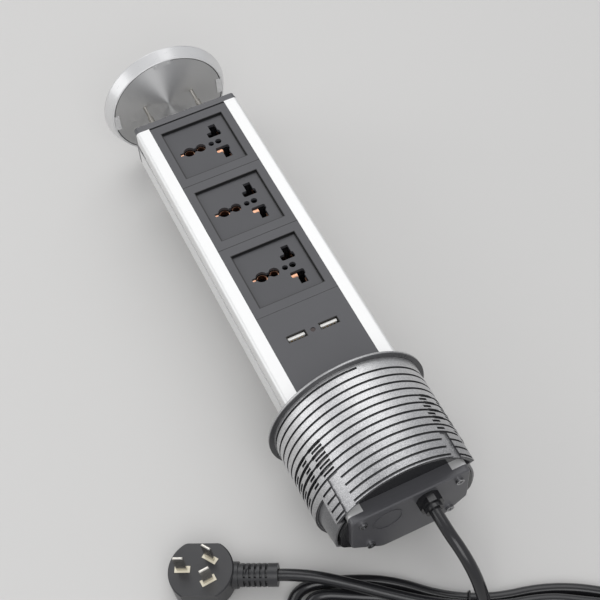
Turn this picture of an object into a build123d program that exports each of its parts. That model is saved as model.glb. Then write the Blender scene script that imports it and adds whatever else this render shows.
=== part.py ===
from build123d import *
import math
import os

# A pop up desk socket, lying on its back with the tower pulled fully out of its barrel.
# X runs across the sockets, +Y along the tower to the lid, +Z out of the sockets' faces.
# The origin is on the barrel's axis, in the plane of the flange's underside. Lengths are millimetres.

# Tower: an aluminium extrusion of D section with a strip each side of the sockets
TOWER_WIDTH = 76
FRONT_Z = 27.9
FLANK_END_Z = -4.6
BACK_Z = -21.1
BACK_FACET = 19.8
BACK_HALF = TOWER_WIDTH / 2 - BACK_FACET
FRONT_CORNER = 2.5
FLANK_CORNER = 3
BACK_CORNER = 8
TOWER_LOW = -76.3
TOWER_HIGH = 248.3
EXTRUSION_WALL = 1.8
STRIP_WIDTH = 9.6
INSERT_HALF = TOWER_WIDTH / 2 - STRIP_WIDTH
GROOVE_LOW_Z = 12
GROOVE_HIGH_Z = 17
FLANK_GROOVE_DEPTH = 2.5
FLANK_GROOVE_WALL = 1.5
FRONT_SCREW = (7, 20.6)
BACK_SCREW = (12, -9.5)
SCREW_BOSS_RADIUS = 2.6
SCREW_RADIUS = 1.4
SCREW_HOLE_CLEARANCE = 0.05
SCREW_HEAD_RADIUS = 2.6
SCREW_HEAD_HEIGHT = 1.6
SCREW_RECESS = 3.3
SCREW_LENGTH = 12

# Barrel: a desk flange and a ribbed, vented sleeve in one moulding, round the tower's front corners
CORNER_ROOM = 0.3575
BORE_RADIUS = math.hypot(TOWER_WIDTH / 2, FRONT_Z) + CORNER_ROOM
SLEEVE_WALL = 2.2
SLEEVE_RADIUS = BORE_RADIUS + SLEEVE_WALL
SLEEVE_LENGTH = 74.2
FLANGE_OVERHANG = 3.3
FLANGE_RADIUS = SLEEVE_RADIUS + FLANGE_OVERHANG
FLANGE_THICKNESS = 2.5
FLANGE_BEVEL = 0.8
NOTCH_WIDTH = 1.6
NOTCH_ANGLE = -8
GROOVE_FIRST = 2.6
GROOVE_PITCH = 5.39
GROOVE_COUNT = 14
GROOVE_WIDTH = 1.0
GROOVE_DEPTH = 1.0
SHORT_GROOVE = (-100, 106)
VENT_ROWS = range(5, 10)
VENT_HEIGHT = 1.8
VENT_ANGLES = (40, 100)
SLOT_HEIGHT = 1.2
SLOT_COLUMNS = ((41, 52), (59, 66), (77, 88))
WINDOW_TOP = 54.7
SHELF_THICKNESS = 2
SIDE_TOP_INSET = 1.8
SIDE_END_INSET = 4.1
SIDE_BORE_INSET = 5.4
SIDE_BORE_RADIUS = SLEEVE_RADIUS - SIDE_BORE_INSET
PANEL_PAST_FLANK = 2.93
PANEL_ANGLE = math.degrees(math.asin(TOWER_WIDTH / 2 / SIDE_BORE_RADIUS)) + PANEL_PAST_FLANK
CORNER_BEFORE = 0.4
CORNER_TURN = 2
CHANNEL_ANGLES = (39, 49)
CHANNEL_TOP = 57.2
CHANNEL_DEPTH = 1.3

# Top cap and the lid on its two posts
CAP_THICKNESS = 5.2
CAP_STEP = 2.0
CAP_STEP_INSET = 0.35
CAP_SPIGOT = 5
CAP_SPIGOT_INSET = 15
CAP_SPIGOT_HALF = TOWER_WIDTH / 2 - CAP_SPIGOT_INSET
CAP_SPIGOT_Z = (-12, 14)
TONGUE_LENGTH = 7.3
TONGUE_CLEARANCE = 0.2
TONGUE_TIP = 2.6
POST_INSET = 19.6
POST_X = TOWER_WIDTH / 2 - POST_INSET
POST_Z = 4.9
POST_RADIUS = 1.25
POST_HOLE_CLEARANCE = 0.1
POST_HEAD_RADIUS = 3
POST_HEAD_HEIGHT = 2
SLEEVE_OVER_POST = 0.75
POST_SLEEVE_END = 279
LID_UNDERSIDE = 290.2
LID_BEVEL_HEIGHT = 7.2
LID_TOP_THICKNESS = 1.6
LID_ROOM = 0.7
LID_RADIUS = BORE_RADIUS - LID_ROOM
LID_BEVEL_WIDTH = 3.4
LID_INNER_RADIUS = LID_RADIUS - LID_BEVEL_WIDTH
LID_RIM_WALL = 1.8
LID_RIM_LEDGE = 3.8
LID_BASE_THICKNESS = 2
LID_FIT = 0.05
LID_SPIGOT = 2.2
LID_BOSS_RADIUS = 3.2
LID_BOSS_HEIGHT = 2.4
TAB_WIDTH = 13
TAB_INSET = 1.3
TAB_REACH = 3.9
TAB_THICKNESS = 0.5
TAB_DIMPLE_RADIUS = 0.7
TAB_DIMPLE_HEIGHT = 0.3
TAB_DIMPLE_SPACING = 9

# Travel, and the guide rings and pads that the tower slides in
TRAVEL = 296.5
LANDING_GAP = 0.3
GUIDE_HEIGHT = 6
GUIDE_FIT = 0.05
GUIDE_CLEARANCE = 0.4
STOP_GAP = 0.3
GUIDE_SIDE_FIT = 0.1
GUIDE_FRONT_MARGIN = 0.7
PAD_MARGIN = 3.2
PAD_HEIGHT = 4
PAD_THICKNESS = 2
PAD_GAP = 0.25
PAD_SPACING = 6
PAD_WIDTH = BACK_HALF - PAD_SPACING / 2 - PAD_MARGIN
PAD_FLANK_Z = 3

# Socket modules
MODULE_COUNT = 3
MODULE_TOP_CENTRE = 217.3
MODULE_PITCH = 59.5
MODULE_GAP = 0.1
FRAME_DEPTH = 6
FRAME_FLANGE_INSET = 2.3
FRAME_FLANGE_HALF = TOWER_WIDTH / 2 - FRAME_FLANGE_INSET
FRAME_FLANGE_BACK = 4.4
FRAME_FLANGE_FRONT = 1.9
RECESS = 45
RECESS_DEPTH = 2
FACE_CLEARANCE = 0.05
FACE_THICKNESS = 2.4
FACE_CORNER = 1.2
HOUSING_FLOOR_Z = 1
HOUSING_FLOOR = 2.5
HOUSING_SIZE = 44
HOUSING_RIM = 50
HOUSING_RIM_HEIGHT = 1.5
SLOT_PIN_X = 11.9
SLOT_PIN_WIDTH = 5
SLOT_PIN_Y = (10, 16.2)
LOBE_X = 10.75
LOBE_WIDTH = 9.5
LOBE_Y = (5.3, 10)
SMALL_HOLES = ((5.3, 1.95), (10.6, 2.2))
EARTH_HOLE = (-11, 4)
EARTH_BRIDGE = (-2.5, 3.5)
EARTH_BRIDGE_HEIGHT = 3.2
EARTH_SLOT = (-17.5, -14.4)
EARTH_SLOT_HEIGHT = 2.4
WELL_LINE_X = (4.6, 16.6)
WELL_LINE_Y = (4.6, 17.4)
WELL_EARTH_X = (-18.6, 1.6)
WELL_EARTH_HALF = 5
WELL_MIDDLE_X = (3, 13.6)
WELL_MIDDLE_HALF = 2.8

# Contacts: three bus strips behind the modules, with clips up into the wells
BUS_THICKNESS = 1
BUS_WIDTH = 4
CLIP_THICKNESS = 0.8
CLIP_TOP_Z = 19
LINE_CLIPS_X = (6.2, 15.2)
LINE_CLIP_LENGTH = 7
LINE_CLIP_Y = 11.5
EARTH_CLIPS_X = (-16.2, -6.6)
EARTH_CLIP_LENGTH = 5
BUS_TAIL = 8
SLOT_ROOM = 0.3

# Charger panel with two outlets and a lamp
PANEL_SKIN = 3
PANEL_SIDE_WALL = 2
USB_X = 11
USB_Y = 46.3
USB_WIDTH = 12.8
USB_HEIGHT = 5.1
USB_SHELL_WALL = 0.35
USB_SHELL_DEPTH = 13.6
USB_SHELL_BACK = 0.3
USB_SETBACK = 0.2
USB_PANEL_ROOM = 0.1
TONGUE_WIDTH = 11.2
TONGUE_HEIGHT = 1.8
TONGUE_SETBACK = 1.4
TONGUE_OFFSET = 1.05
USB_CONTACT_COUNT = 4
USB_CONTACT_PITCH = 2.4
USB_CONTACT_WIDTH = 1.1
USB_CONTACT_HEIGHT = 0.3
USB_CONTACT_LENGTH = 8
LAMP_RADIUS = 1.6
LAMP_ROOM = 0.05
LAMP_SETBACK = 0.4
LAMP_FLANGE_RADIUS = 2.1
BOARD_WIDTH = 44
BOARD_THICKNESS = 1.6
BOARD_LOW = 30
BOARD_HIGH = 62
BOARD_POST_RADIUS = 2
BOARD_POST_INSET = 3.5
COIL_SIZE = (16, 10, 9)
CAPACITOR_RADIUS = 4
CAPACITOR_LENGTH = 11

# Terminal block and wires
TERMINAL_LOW = -34
TERMINAL_HIGH = -16
TERMINAL_HALF = 13
TERMINAL_HEIGHT = 12
WIRE_RADIUS = 1.2
WIRE_PITCH = 9
WIRE_BEND = 8
CORE_RADIUS = 1.1

# Foot collar, end cap and cord gland
COLLAR_HEIGHT = 4.6
COLLAR_PROUD = 5
COLLAR_ROOM = 0.6
COLLAR_RADIUS = SIDE_BORE_RADIUS - COLLAR_ROOM
COLLAR_LUG_CLEARANCE = 0.2
END_CAP_THICKNESS = 4.4
END_CAP_EDGE = 0.8
BLANK_X = -15
BLANK_Z = 13
BLANK_RADIUS = 9.5
BLANK_LINE = 0.7
BLANK_RAISE = 0.4
GLAND_X = 10.5
GLAND_Z = 17
GLAND_HEAD_RADIUS = 7.6
GLAND_LENGTH = 9
GLAND_SIDES = 10
GLAND_NECK_RADIUS = 5.6
GLAND_NECK_LENGTH = 3
GLAND_SHANK_RADIUS = 6
GLAND_SHANK_LENGTH = 7.5
GLAND_NIB = 0.8
GLAND_ROOM = 0.3

# Mains cord: a hanging lead, a tied hank of loops on the floor, and a tail to the plug
CORD_RADIUS = 3.75
FLOOR_Z = -FLANGE_RADIUS
LAYER_RISE = 7.95
LEAD_BEARING = 10.5
LEAD_STRAIGHT = 13.8
LEAD_ROUTE = ((26.9, 0.068), (37.8, 0.196), (45.4, 0.373), (51, 0.581), (62, 0.755), (80, 0.921))
LEAD_LAST_RUN = 23
TAIL_ROUTE = ((-45, 10.6, 0), (-72, 15.6, 1.6))
TAIL_FIRST_RUN = 20
TAIL_LAST_RUN = 16
RADIUS_SHARE = 0.45
HANK_X = 10.5
HANK_Y = -135
HANK_BEARING = -30.5
HANK_LENGTH = 112
HANK_LOBE = 27
HANK_LOBE_PLACE = 60
HANK_WAIST = 18.3
HANK_SAG = 6
HANK_PITCH = 10.3
HANK_START = 67
STATIONS_PER_LOOP = 8
CLIMB_FROM = 12
CLIMB_TO = 14
HANK_LAST = 19
TIE_RADIUS = 0.6
TIE_GAP = 0.4
TIE_SLOPE = 5
HANK_WAIST_STATION = 3
HANK_LOW_STATION = 7

# Plug: a flat round head on its back, three blades, and a slotted strain relief
PLUG_X = -119.5
PLUG_Y = -40.1
PLUG_BEARING = -27.7
PLUG_TILT = 3.5
PLUG_RADIUS = 20
PLUG_FLAT = 16.8
PLUG_HEIGHT = 18.5
PLUG_BACK_EDGE = 3.5
PLUG_FACE_EDGE = 0.8
BLADE_WIDTH = 6.35
BLADE_THICKNESS = 1.6
BLADE_LENGTH = 17
BLADE_ROOT = 3
BLADE_TIP = 0.5
LINE_BLADE_ALONG = 5.3
LINE_BLADE_ACROSS = 7.1
LINE_BLADE_ANGLE = 30
EARTH_BLADE_ALONG = -11
COLLAR_LENGTH = 9.4
COLLAR_WIDTH = 4.2
COLLAR_RAISE = 0.5
RELIEF_START = 22
RELIEF_LENGTH = 24
RELIEF_RADIUS = 7.1
RELIEF_AXIS_DROP = 9
RELIEF_ROOT_RADIUS = 8.2
RELIEF_SLOTS = 5
RELIEF_SLOT_PITCH = 3.3
RELIEF_SLOT_WIDTH = 1.5
RELIEF_END_BAND = 6
RELIEF_CORE = 4.9
RELIEF_ROOT = 10

OVERRUN = 1
TINY = 1e-9


def along(face, low, high):
    """A solid of an outline in X and Z, from one place along the tower to another."""
    plane = Plane(origin=(0, high, 0), x_dir=(1, 0, 0), z_dir=(0, -1, 0))
    return extrude(plane * face, amount=high - low)


def upright(face, low, high):
    """A solid of an outline in X and Y, from one height to another."""
    return extrude(Pos(0, 0, low) * face, amount=high - low)


def block(x, y, z):
    """A box between two places along each axis."""
    size = [b - a for a, b in (x, y, z)]
    middle = [(a + b) / 2 for a, b in (x, y, z)]
    return Pos(*middle) * Box(*size)


def rectangle(x, y):
    """A rectangle between two places along each axis."""
    return Pos((x[0] + x[1]) / 2, (y[0] + y[1]) / 2) * Rectangle(x[1] - x[0], y[1] - y[0])


def turned(points, start=0, sweep=360):
    """A solid turned about the tower's axis from points of radius and place, from an angle off +Z."""
    return Rot(0, start - 90, 0) * revolve(make_face(Polyline(*points, close=True)), Axis.Y, sweep)


def ring(radii, low, high, start=0, sweep=360):
    """A ring about the tower's axis, or a sector of one."""
    inner, outer = radii
    return turned([(inner, low), (outer, low), (outer, high), (inner, high)], start, sweep)


def section(grow=0.0):
    """The tower's D outline in X and Z, grown outwards or inwards."""
    half = TOWER_WIDTH / 2
    points = [
        (-half, FRONT_Z),
        (half, FRONT_Z),
        (half, FLANK_END_Z),
        (BACK_HALF, BACK_Z),
        (-BACK_HALF, BACK_Z),
        (-half, FLANK_END_Z),
    ]
    face = make_face(Polyline(*points, close=True))
    if grow:
        face = offset(face, amount=grow, kind=Kind.INTERSECTION)
    face = fillet(face.vertices().sort_by(Axis.Y)[:2], BACK_CORNER + grow)
    face = fillet(face.vertices().group_by(Axis.X)[0].sort_by(Axis.Y)[:1], FLANK_CORNER + grow)
    face = fillet(face.vertices().group_by(Axis.X)[-1].sort_by(Axis.Y)[:1], FLANK_CORNER + grow)
    return fillet(face.vertices().sort_by(Axis.Y)[-2:], FRONT_CORNER + grow)


def both_sides(solid):
    """A solid and its mirror image across the tower."""
    return solid + mirror(solid, Plane.YZ)


def barrel():
    body = turned(
        [
            (BORE_RADIUS, -WINDOW_TOP),
            (SLEEVE_RADIUS, -WINDOW_TOP),
            (SLEEVE_RADIUS, 0),
            (FLANGE_RADIUS, 0),
            (FLANGE_RADIUS, FLANGE_THICKNESS - FLANGE_BEVEL),
            (FLANGE_RADIUS - FLANGE_BEVEL, FLANGE_THICKNESS),
            (BORE_RADIUS, FLANGE_THICKNESS),
        ]
    )
    sides = 360 - 2 * PANEL_ANGLE
    body += ring((BORE_RADIUS, SLEEVE_RADIUS), -SLEEVE_LENGTH, -WINDOW_TOP, -PANEL_ANGLE, 2 * PANEL_ANGLE)
    body += turned(
        [
            (SIDE_BORE_RADIUS, -SLEEVE_LENGTH),
            (SLEEVE_RADIUS - SIDE_END_INSET, -SLEEVE_LENGTH),
            (SLEEVE_RADIUS - SIDE_TOP_INSET, -WINDOW_TOP - SHELF_THICKNESS),
            (SLEEVE_RADIUS, -WINDOW_TOP - SHELF_THICKNESS),
            (SLEEVE_RADIUS, -WINDOW_TOP),
            (SIDE_BORE_RADIUS, -WINDOW_TOP),
        ],
        PANEL_ANGLE,
        sides,
    )
    corner = PANEL_ANGLE - CORNER_BEFORE
    for start in (corner, -corner - CORNER_TURN):
        radii = (SIDE_BORE_RADIUS, SLEEVE_RADIUS)
        body += ring(radii, -SLEEVE_LENGTH, -WINDOW_TOP, start, CORNER_TURN)
    rib_root = SLEEVE_RADIUS - GROOVE_DEPTH
    outside = SLEEVE_RADIUS + OVERRUN
    cuts = []
    for row in range(GROOVE_COUNT):
        middle = -GROOVE_FIRST - GROOVE_PITCH * row
        span = SHORT_GROOVE if row == 0 else (0, 360)
        low, high = middle - GROOVE_WIDTH / 2, middle + GROOVE_WIDTH / 2
        cuts.append(ring((rib_root, outside), low, high, *span))
    inside = BORE_RADIUS - OVERRUN
    for row in VENT_ROWS:
        middle = -GROOVE_FIRST - GROOVE_PITCH * row
        start, end = VENT_ANGLES
        for side in (start, -end):
            low, high = middle - VENT_HEIGHT / 2, middle + VENT_HEIGHT / 2
            cuts.append(ring((inside, outside), low, high, side, end - start))
        if row == VENT_ROWS[-1]:
            continue
        middle -= GROOVE_PITCH / 2
        low, high = middle - SLOT_HEIGHT / 2, middle + SLOT_HEIGHT / 2
        for start, end in SLOT_COLUMNS:
            for side in (start, -end):
                cuts.append(ring((inside, outside), low, high, side, end - start))
    start, end = CHANNEL_ANGLES
    for side in (start, -end):
        radii = (SLEEVE_RADIUS - CHANNEL_DEPTH, outside)
        cuts.append(ring(radii, -SLEEVE_LENGTH - OVERRUN, -CHANNEL_TOP, side, end - start))
    cuts.append(
        Rot(0, NOTCH_ANGLE, 0)
        * block(
            (-NOTCH_WIDTH / 2, NOTCH_WIDTH / 2),
            (FLANGE_THICKNESS - FLANGE_BEVEL, FLANGE_THICKNESS + OVERRUN),
            (FLANGE_RADIUS - 2 * FLANGE_BEVEL, FLANGE_RADIUS + OVERRUN),
        )
    )
    return body - cuts


def guide_outline():
    """The lower ring's outline: the full bore in front, the narrowed bore at the sides and back."""
    reach = FLANGE_RADIUS * math.tan(math.radians(PANEL_ANGLE - GUIDE_FRONT_MARGIN))
    front = make_face(Polyline((0, 0), (reach, FLANGE_RADIUS), (-reach, FLANGE_RADIUS), close=True))
    full = Circle(BORE_RADIUS - GUIDE_FIT)
    return Circle(SIDE_BORE_RADIUS - GUIDE_SIDE_FIT) + (full & front)


def pad_boxes(height_low, grow=0.0):
    """The blocks of the four pads: one on each flank and two on the flat back."""
    half = TOWER_WIDTH / 2 + PAD_GAP
    span = (height_low - grow, height_low + PAD_HEIGHT + grow)
    flank_z = (PAD_FLANK_Z - PAD_WIDTH / 2 - grow, PAD_FLANK_Z + PAD_WIDTH / 2 + grow)
    back_z = (BACK_Z - PAD_GAP - PAD_THICKNESS - grow, BACK_Z - PAD_GAP)
    back_x = (PAD_SPACING / 2 - grow, PAD_SPACING / 2 + PAD_WIDTH + grow)
    flank = block((half, half + PAD_THICKNESS + grow), span, flank_z)
    back = block(back_x, span, back_z)
    return [flank, mirror(flank, Plane.YZ), back, mirror(back, Plane.YZ)]


def upper_guide_top():
    return LID_UNDERSIDE - TAB_THICKNESS - TAB_DIMPLE_HEIGHT - TRAVEL - LANDING_GAP


def upper_guide_ring():
    top = upper_guide_top()
    outer = Circle(BORE_RADIUS - GUIDE_FIT)
    body = along(outer - section(GUIDE_CLEARANCE), top - GUIDE_HEIGHT, top)
    return body - pad_boxes(top - GUIDE_HEIGHT, GUIDE_FIT)


def friction_pads():
    return Compound(pad_boxes(upper_guide_top() - GUIDE_HEIGHT))


def collar_top():
    return TOWER_LOW + COLLAR_HEIGHT


def lower_guide_ring():
    low = collar_top() + STOP_GAP
    return along(guide_outline() - section(GUIDE_CLEARANCE), low, low + GUIDE_HEIGHT)


def screw_points():
    half = TOWER_WIDTH / 2
    return [(side * (half - inset), z) for inset, z in (FRONT_SCREW, BACK_SCREW) for side in (-1, 1)]


def tower_extrusion():
    face = section() - section(-EXTRUSION_WALL)
    half = TOWER_WIDTH / 2
    for side in (-1, 1):
        wall_x = side * (half - (FLANK_GROOVE_DEPTH + FLANK_GROOVE_WALL) / 2)
        tall = GROOVE_HIGH_Z - GROOVE_LOW_Z + 2 * FLANK_GROOVE_WALL
        middle_z = (GROOVE_LOW_Z + GROOVE_HIGH_Z) / 2
        face += Pos(wall_x, middle_z) * Rectangle(FLANK_GROOVE_DEPTH + FLANK_GROOVE_WALL, tall)
    for x, z in screw_points():
        face += Pos(x, z) * Circle(SCREW_BOSS_RADIUS)
    boss_inset, boss_z = FRONT_SCREW
    for side in (-1, 1):
        face += rectangle(sorted((side * (half - boss_inset), side * (half - FLANK_GROOVE_DEPTH))), (GROOVE_HIGH_Z, boss_z))
        cut = FLANK_GROOVE_DEPTH + OVERRUN
        wall_x = side * (half + OVERRUN - cut / 2)
        middle_z = (GROOVE_LOW_Z + GROOVE_HIGH_Z) / 2
        face -= Pos(wall_x, middle_z) * Rectangle(cut, GROOVE_HIGH_Z - GROOVE_LOW_Z)
    for x, z in screw_points():
        face -= Pos(x, z) * Circle(SCREW_RADIUS + SCREW_HOLE_CLEARANCE)
    face -= rectangle((-INSERT_HALF, INSERT_HALF), (FRONT_Z - 2 * EXTRUSION_WALL, FRONT_Z + OVERRUN))
    return along(face, TOWER_LOW, TOWER_HIGH)


def post_points():
    return [(side * POST_X, POST_Z) for side in (-1, 1)]


def rod(x, z, radius, low, high):
    """A round bar along the tower."""
    return along(Pos(x, z) * Circle(radius), low, high)


def top_cap():
    step = TOWER_HIGH + CAP_STEP
    top = TOWER_HIGH + CAP_THICKNESS
    body = along(section(), TOWER_HIGH, step) + along(section(-CAP_STEP_INSET), step, top)
    spigot = (-CAP_SPIGOT_HALF, CAP_SPIGOT_HALF)
    body += block(spigot, (TOWER_HIGH - CAP_SPIGOT, TOWER_HIGH), CAP_SPIGOT_Z)
    half = TOWER_WIDTH / 2
    outer, inner = half, half - FLANK_GROOVE_DEPTH + TONGUE_CLEARANCE
    low_z, high_z = GROOVE_LOW_Z + TONGUE_CLEARANCE, GROOVE_HIGH_Z - TONGUE_CLEARANCE
    tongue = make_face(
        Polyline(
            (low_z, TOWER_HIGH),
            (high_z, TOWER_HIGH),
            (high_z, TOWER_HIGH - TONGUE_LENGTH),
            (high_z - TONGUE_TIP, TOWER_HIGH - TONGUE_LENGTH),
            close=True,
        )
    )
    plane = Plane(origin=(inner, 0, 0), x_dir=(0, 0, 1), z_dir=(-1, 0, 0))
    body += both_sides(extrude(plane * tongue, amount=inner - outer))
    for x, z in post_points():
        low = TOWER_HIGH - CAP_SPIGOT - OVERRUN
        body -= rod(x, z, POST_RADIUS + POST_HOLE_CLEARANCE, low, top + OVERRUN)
    return body


def lid_posts():
    low = TOWER_HIGH - CAP_SPIGOT
    high = LID_UNDERSIDE + LID_BASE_THICKNESS
    posts = []
    for x, z in post_points():
        head = rod(x, z, POST_HEAD_RADIUS, low - POST_HEAD_HEIGHT, low)
        posts.append(head + rod(x, z, POST_RADIUS, low - POST_HEAD_HEIGHT, high))
    return Compound(posts)


def post_sleeves():
    low = TOWER_HIGH + CAP_THICKNESS
    outer = POST_RADIUS + SLEEVE_OVER_POST
    bore = POST_RADIUS + POST_HOLE_CLEARANCE
    faces = [Pos(x, z) * (Circle(outer) - Circle(bore)) for x, z in post_points()]
    return Compound([along(face, low, POST_SLEEVE_END) for face in faces])


def lid_base():
    low, high = LID_UNDERSIDE, LID_UNDERSIDE + LID_BASE_THICKNESS
    body = ring((0, LID_INNER_RADIUS), low, high)
    for x, z in post_points():
        body += rod(x, z, LID_BOSS_RADIUS, high, high + LID_BOSS_HEIGHT)
        body -= rod(x, z, POST_RADIUS + POST_HOLE_CLEARANCE, low - OVERRUN, high)
    return body


def lid_rim():
    inner = LID_INNER_RADIUS + LID_FIT
    top = LID_UNDERSIDE + LID_BEVEL_HEIGHT
    return turned(
        [
            (inner, LID_UNDERSIDE),
            (inner + LID_FIT, LID_UNDERSIDE),
            (LID_RADIUS, top),
            (LID_RADIUS - LID_RIM_WALL, top),
            (inner, LID_UNDERSIDE + LID_RIM_LEDGE),
        ]
    )


def lid_top():
    low = LID_UNDERSIDE + LID_BEVEL_HEIGHT
    spigot = LID_RADIUS - LID_RIM_WALL - LID_FIT
    return turned(
        [
            (0, low - LID_SPIGOT),
            (spigot - LID_RIM_WALL, low - LID_SPIGOT),
            (spigot, low),
            (LID_RADIUS, low),
            (LID_RADIUS, low + LID_TOP_THICKNESS / 2),
            (LID_RADIUS - LID_TOP_THICKNESS / 2, low + LID_TOP_THICKNESS),
            (0, low + LID_TOP_THICKNESS),
        ]
    )


def lid_tabs():
    """Four clips folded over the edge of the lid's underside, each with two pressed dimples."""
    tabs = []
    high = LID_UNDERSIDE
    low = high - TAB_THICKNESS
    outer = LID_INNER_RADIUS - TAB_INSET
    inner = outer - TAB_REACH
    for turn in range(4):
        plate = block((-TAB_WIDTH / 2, TAB_WIDTH / 2), (low, high), (inner, outer))
        for side in (-1, 1):
            x = side * TAB_DIMPLE_SPACING / 2
            plate += rod(x, (inner + outer) / 2, TAB_DIMPLE_RADIUS, low - TAB_DIMPLE_HEIGHT, low)
        tabs.append(Rot(0, 90 * turn, 0) * plate)
    return Compound(tabs)


def module_centre(index):
    return MODULE_TOP_CENTRE - MODULE_PITCH * index


def frame_back():
    return FRONT_Z - FRAME_DEPTH


def flange_span():
    return FRONT_Z - FRAME_FLANGE_BACK, FRONT_Z - FRAME_FLANGE_FRONT


def socket_frame(index):
    middle = module_centre(index)
    half = MODULE_PITCH / 2 - MODULE_GAP / 2
    y = (middle - half, middle + half)
    x = (-INSERT_HALF + MODULE_GAP, INSERT_HALF - MODULE_GAP)
    body = block(x, y, (frame_back(), FRONT_Z))
    body += block((-FRAME_FLANGE_HALF, FRAME_FLANGE_HALF), y, flange_span())
    hole = Pos(0, middle) * Rectangle(RECESS, RECESS)
    return body - upright(hole, frame_back() - OVERRUN, FRONT_Z + OVERRUN)


def line_hole(side):
    """The opening for one pin: a slot that widens to a lobe toward the middle."""
    half = SLOT_PIN_WIDTH / 2
    slot_x = (SLOT_PIN_X - half, SLOT_PIN_X + half)
    lobe_x = (LOBE_X - LOBE_WIDTH / 2, LOBE_X + LOBE_WIDTH / 2)
    lobe = rectangle(lobe_x, LOBE_Y)
    lobe = fillet(lobe.vertices(), FACE_CORNER)
    face = rectangle(slot_x, (LOBE_Y[0], SLOT_PIN_Y[1])) + lobe
    return face if side > 0 else mirror(face, Plane.XZ)


def earth_hole():
    x, radius = EARTH_HOLE
    other_x, other_radius = EARTH_BRIDGE
    half = EARTH_BRIDGE_HEIGHT / 2
    face = Pos(x, 0) * Circle(radius) + Pos(other_x, 0) * Circle(other_radius)
    face += rectangle((x, other_x), (-half, half))
    half = EARTH_SLOT_HEIGHT / 2
    return face + rectangle((EARTH_SLOT[0], EARTH_SLOT[1] + OVERRUN), (-half, half))


def face_back():
    return FRONT_Z - RECESS_DEPTH - FACE_THICKNESS


def socket_face(index):
    half = RECESS / 2 - FACE_CLEARANCE
    face = Rectangle(2 * half, 2 * half)
    face -= line_hole(1)
    face -= line_hole(-1)
    face -= earth_hole()
    for x, radius in SMALL_HOLES:
        face -= Pos(x, 0) * Circle(radius)
    return upright(Pos(0, module_centre(index)) * face, face_back(), FRONT_Z - RECESS_DEPTH)


def clip_places():
    """Each clip's X, place in the module and length: live, neutral, then earth."""
    line = [(x, LINE_CLIP_LENGTH) for x in LINE_CLIPS_X]
    earth = [(x, EARTH_CLIP_LENGTH) for x in EARTH_CLIPS_X]
    return {
        "live": [(x, LINE_CLIP_Y, length) for x, length in line],
        "neutral": [(x, -LINE_CLIP_Y, length) for x, length in line],
        "earth": [(x, 0, length) for x, length in earth],
    }


def socket_housing(index):
    middle = module_centre(index)
    half = HOUSING_SIZE / 2
    rim = HOUSING_RIM / 2
    low = HOUSING_FLOOR_Z - HOUSING_FLOOR
    high = face_back()
    y = (middle - half, middle + half)
    body = block((-half, half), y, (low, high))
    rim_y = (middle - rim, middle + rim)
    body += block((-rim, rim), rim_y, (frame_back() - HOUSING_RIM_HEIGHT, frame_back()))
    line = rectangle(WELL_LINE_X, WELL_LINE_Y)
    wells = line + mirror(line, Plane.XZ)
    wells += rectangle(WELL_EARTH_X, (-WELL_EARTH_HALF, WELL_EARTH_HALF))
    wells += rectangle(WELL_MIDDLE_X, (-WELL_MIDDLE_HALF, WELL_MIDDLE_HALF))
    body -= upright(Pos(0, middle) * wells, HOUSING_FLOOR_Z, high + OVERRUN)
    for pole, places in clip_places().items():
        _, y_place, length = places[0]
        half_x = CLIP_THICKNESS / 2 + SLOT_ROOM
        half_y = length / 2 + SLOT_ROOM
        x = leg_x(pole)
        slot = rectangle((x - half_x, x + half_x), (y_place - half_y, y_place + half_y))
        body -= upright(Pos(0, middle) * slot, low - OVERRUN, HOUSING_FLOOR_Z + OVERRUN)
    return body


def bus_top():
    return HOUSING_FLOOR_Z - HOUSING_FLOOR


def leg_x(pole):
    """Where the one clip that reaches down to its bus strip stands."""
    places = clip_places()[pole]
    return places[-1][0] if pole == "live" else places[0][0]


def bus_x(pole):
    """A bus strip's two edges: its outer one is flush with its leg."""
    leg = leg_x(pole)
    outer = CLIP_THICKNESS / 2
    return (leg + outer - BUS_WIDTH, leg + outer) if pole == "live" else (leg - outer, leg - outer + BUS_WIDTH)


def bus_low():
    """The lower end of every bus strip, where its wire joins."""
    return module_centre(MODULE_COUNT - 1) - LINE_CLIP_Y - LINE_CLIP_LENGTH / 2 - BUS_TAIL


def contacts(pole):
    """One pole's bus strip, with a folded clip in each module whose leg passes the housing's floor."""
    places = clip_places()[pole]
    _, offset_y, length = places[0]
    half = CLIP_THICKNESS / 2
    top = bus_top()
    high = module_centre(0) + offset_y + length / 2
    body = block(bus_x(pole), (bus_low(), high), (top - BUS_THICKNESS, top))
    for index in range(MODULE_COUNT):
        middle = module_centre(index) + offset_y
        y = (middle - length / 2, middle + length / 2)
        foot_x = (places[0][0] - half, places[-1][0] + half)
        body += block(foot_x, y, (HOUSING_FLOOR_Z, HOUSING_FLOOR_Z + CLIP_THICKNESS))
        for x, _, _ in places:
            body += block((x - half, x + half), y, (HOUSING_FLOOR_Z, CLIP_TOP_Z))
        leg = leg_x(pole)
        body += block((leg - half, leg + half), y, (top - BUS_THICKNESS, HOUSING_FLOOR_Z))
    return body


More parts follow.
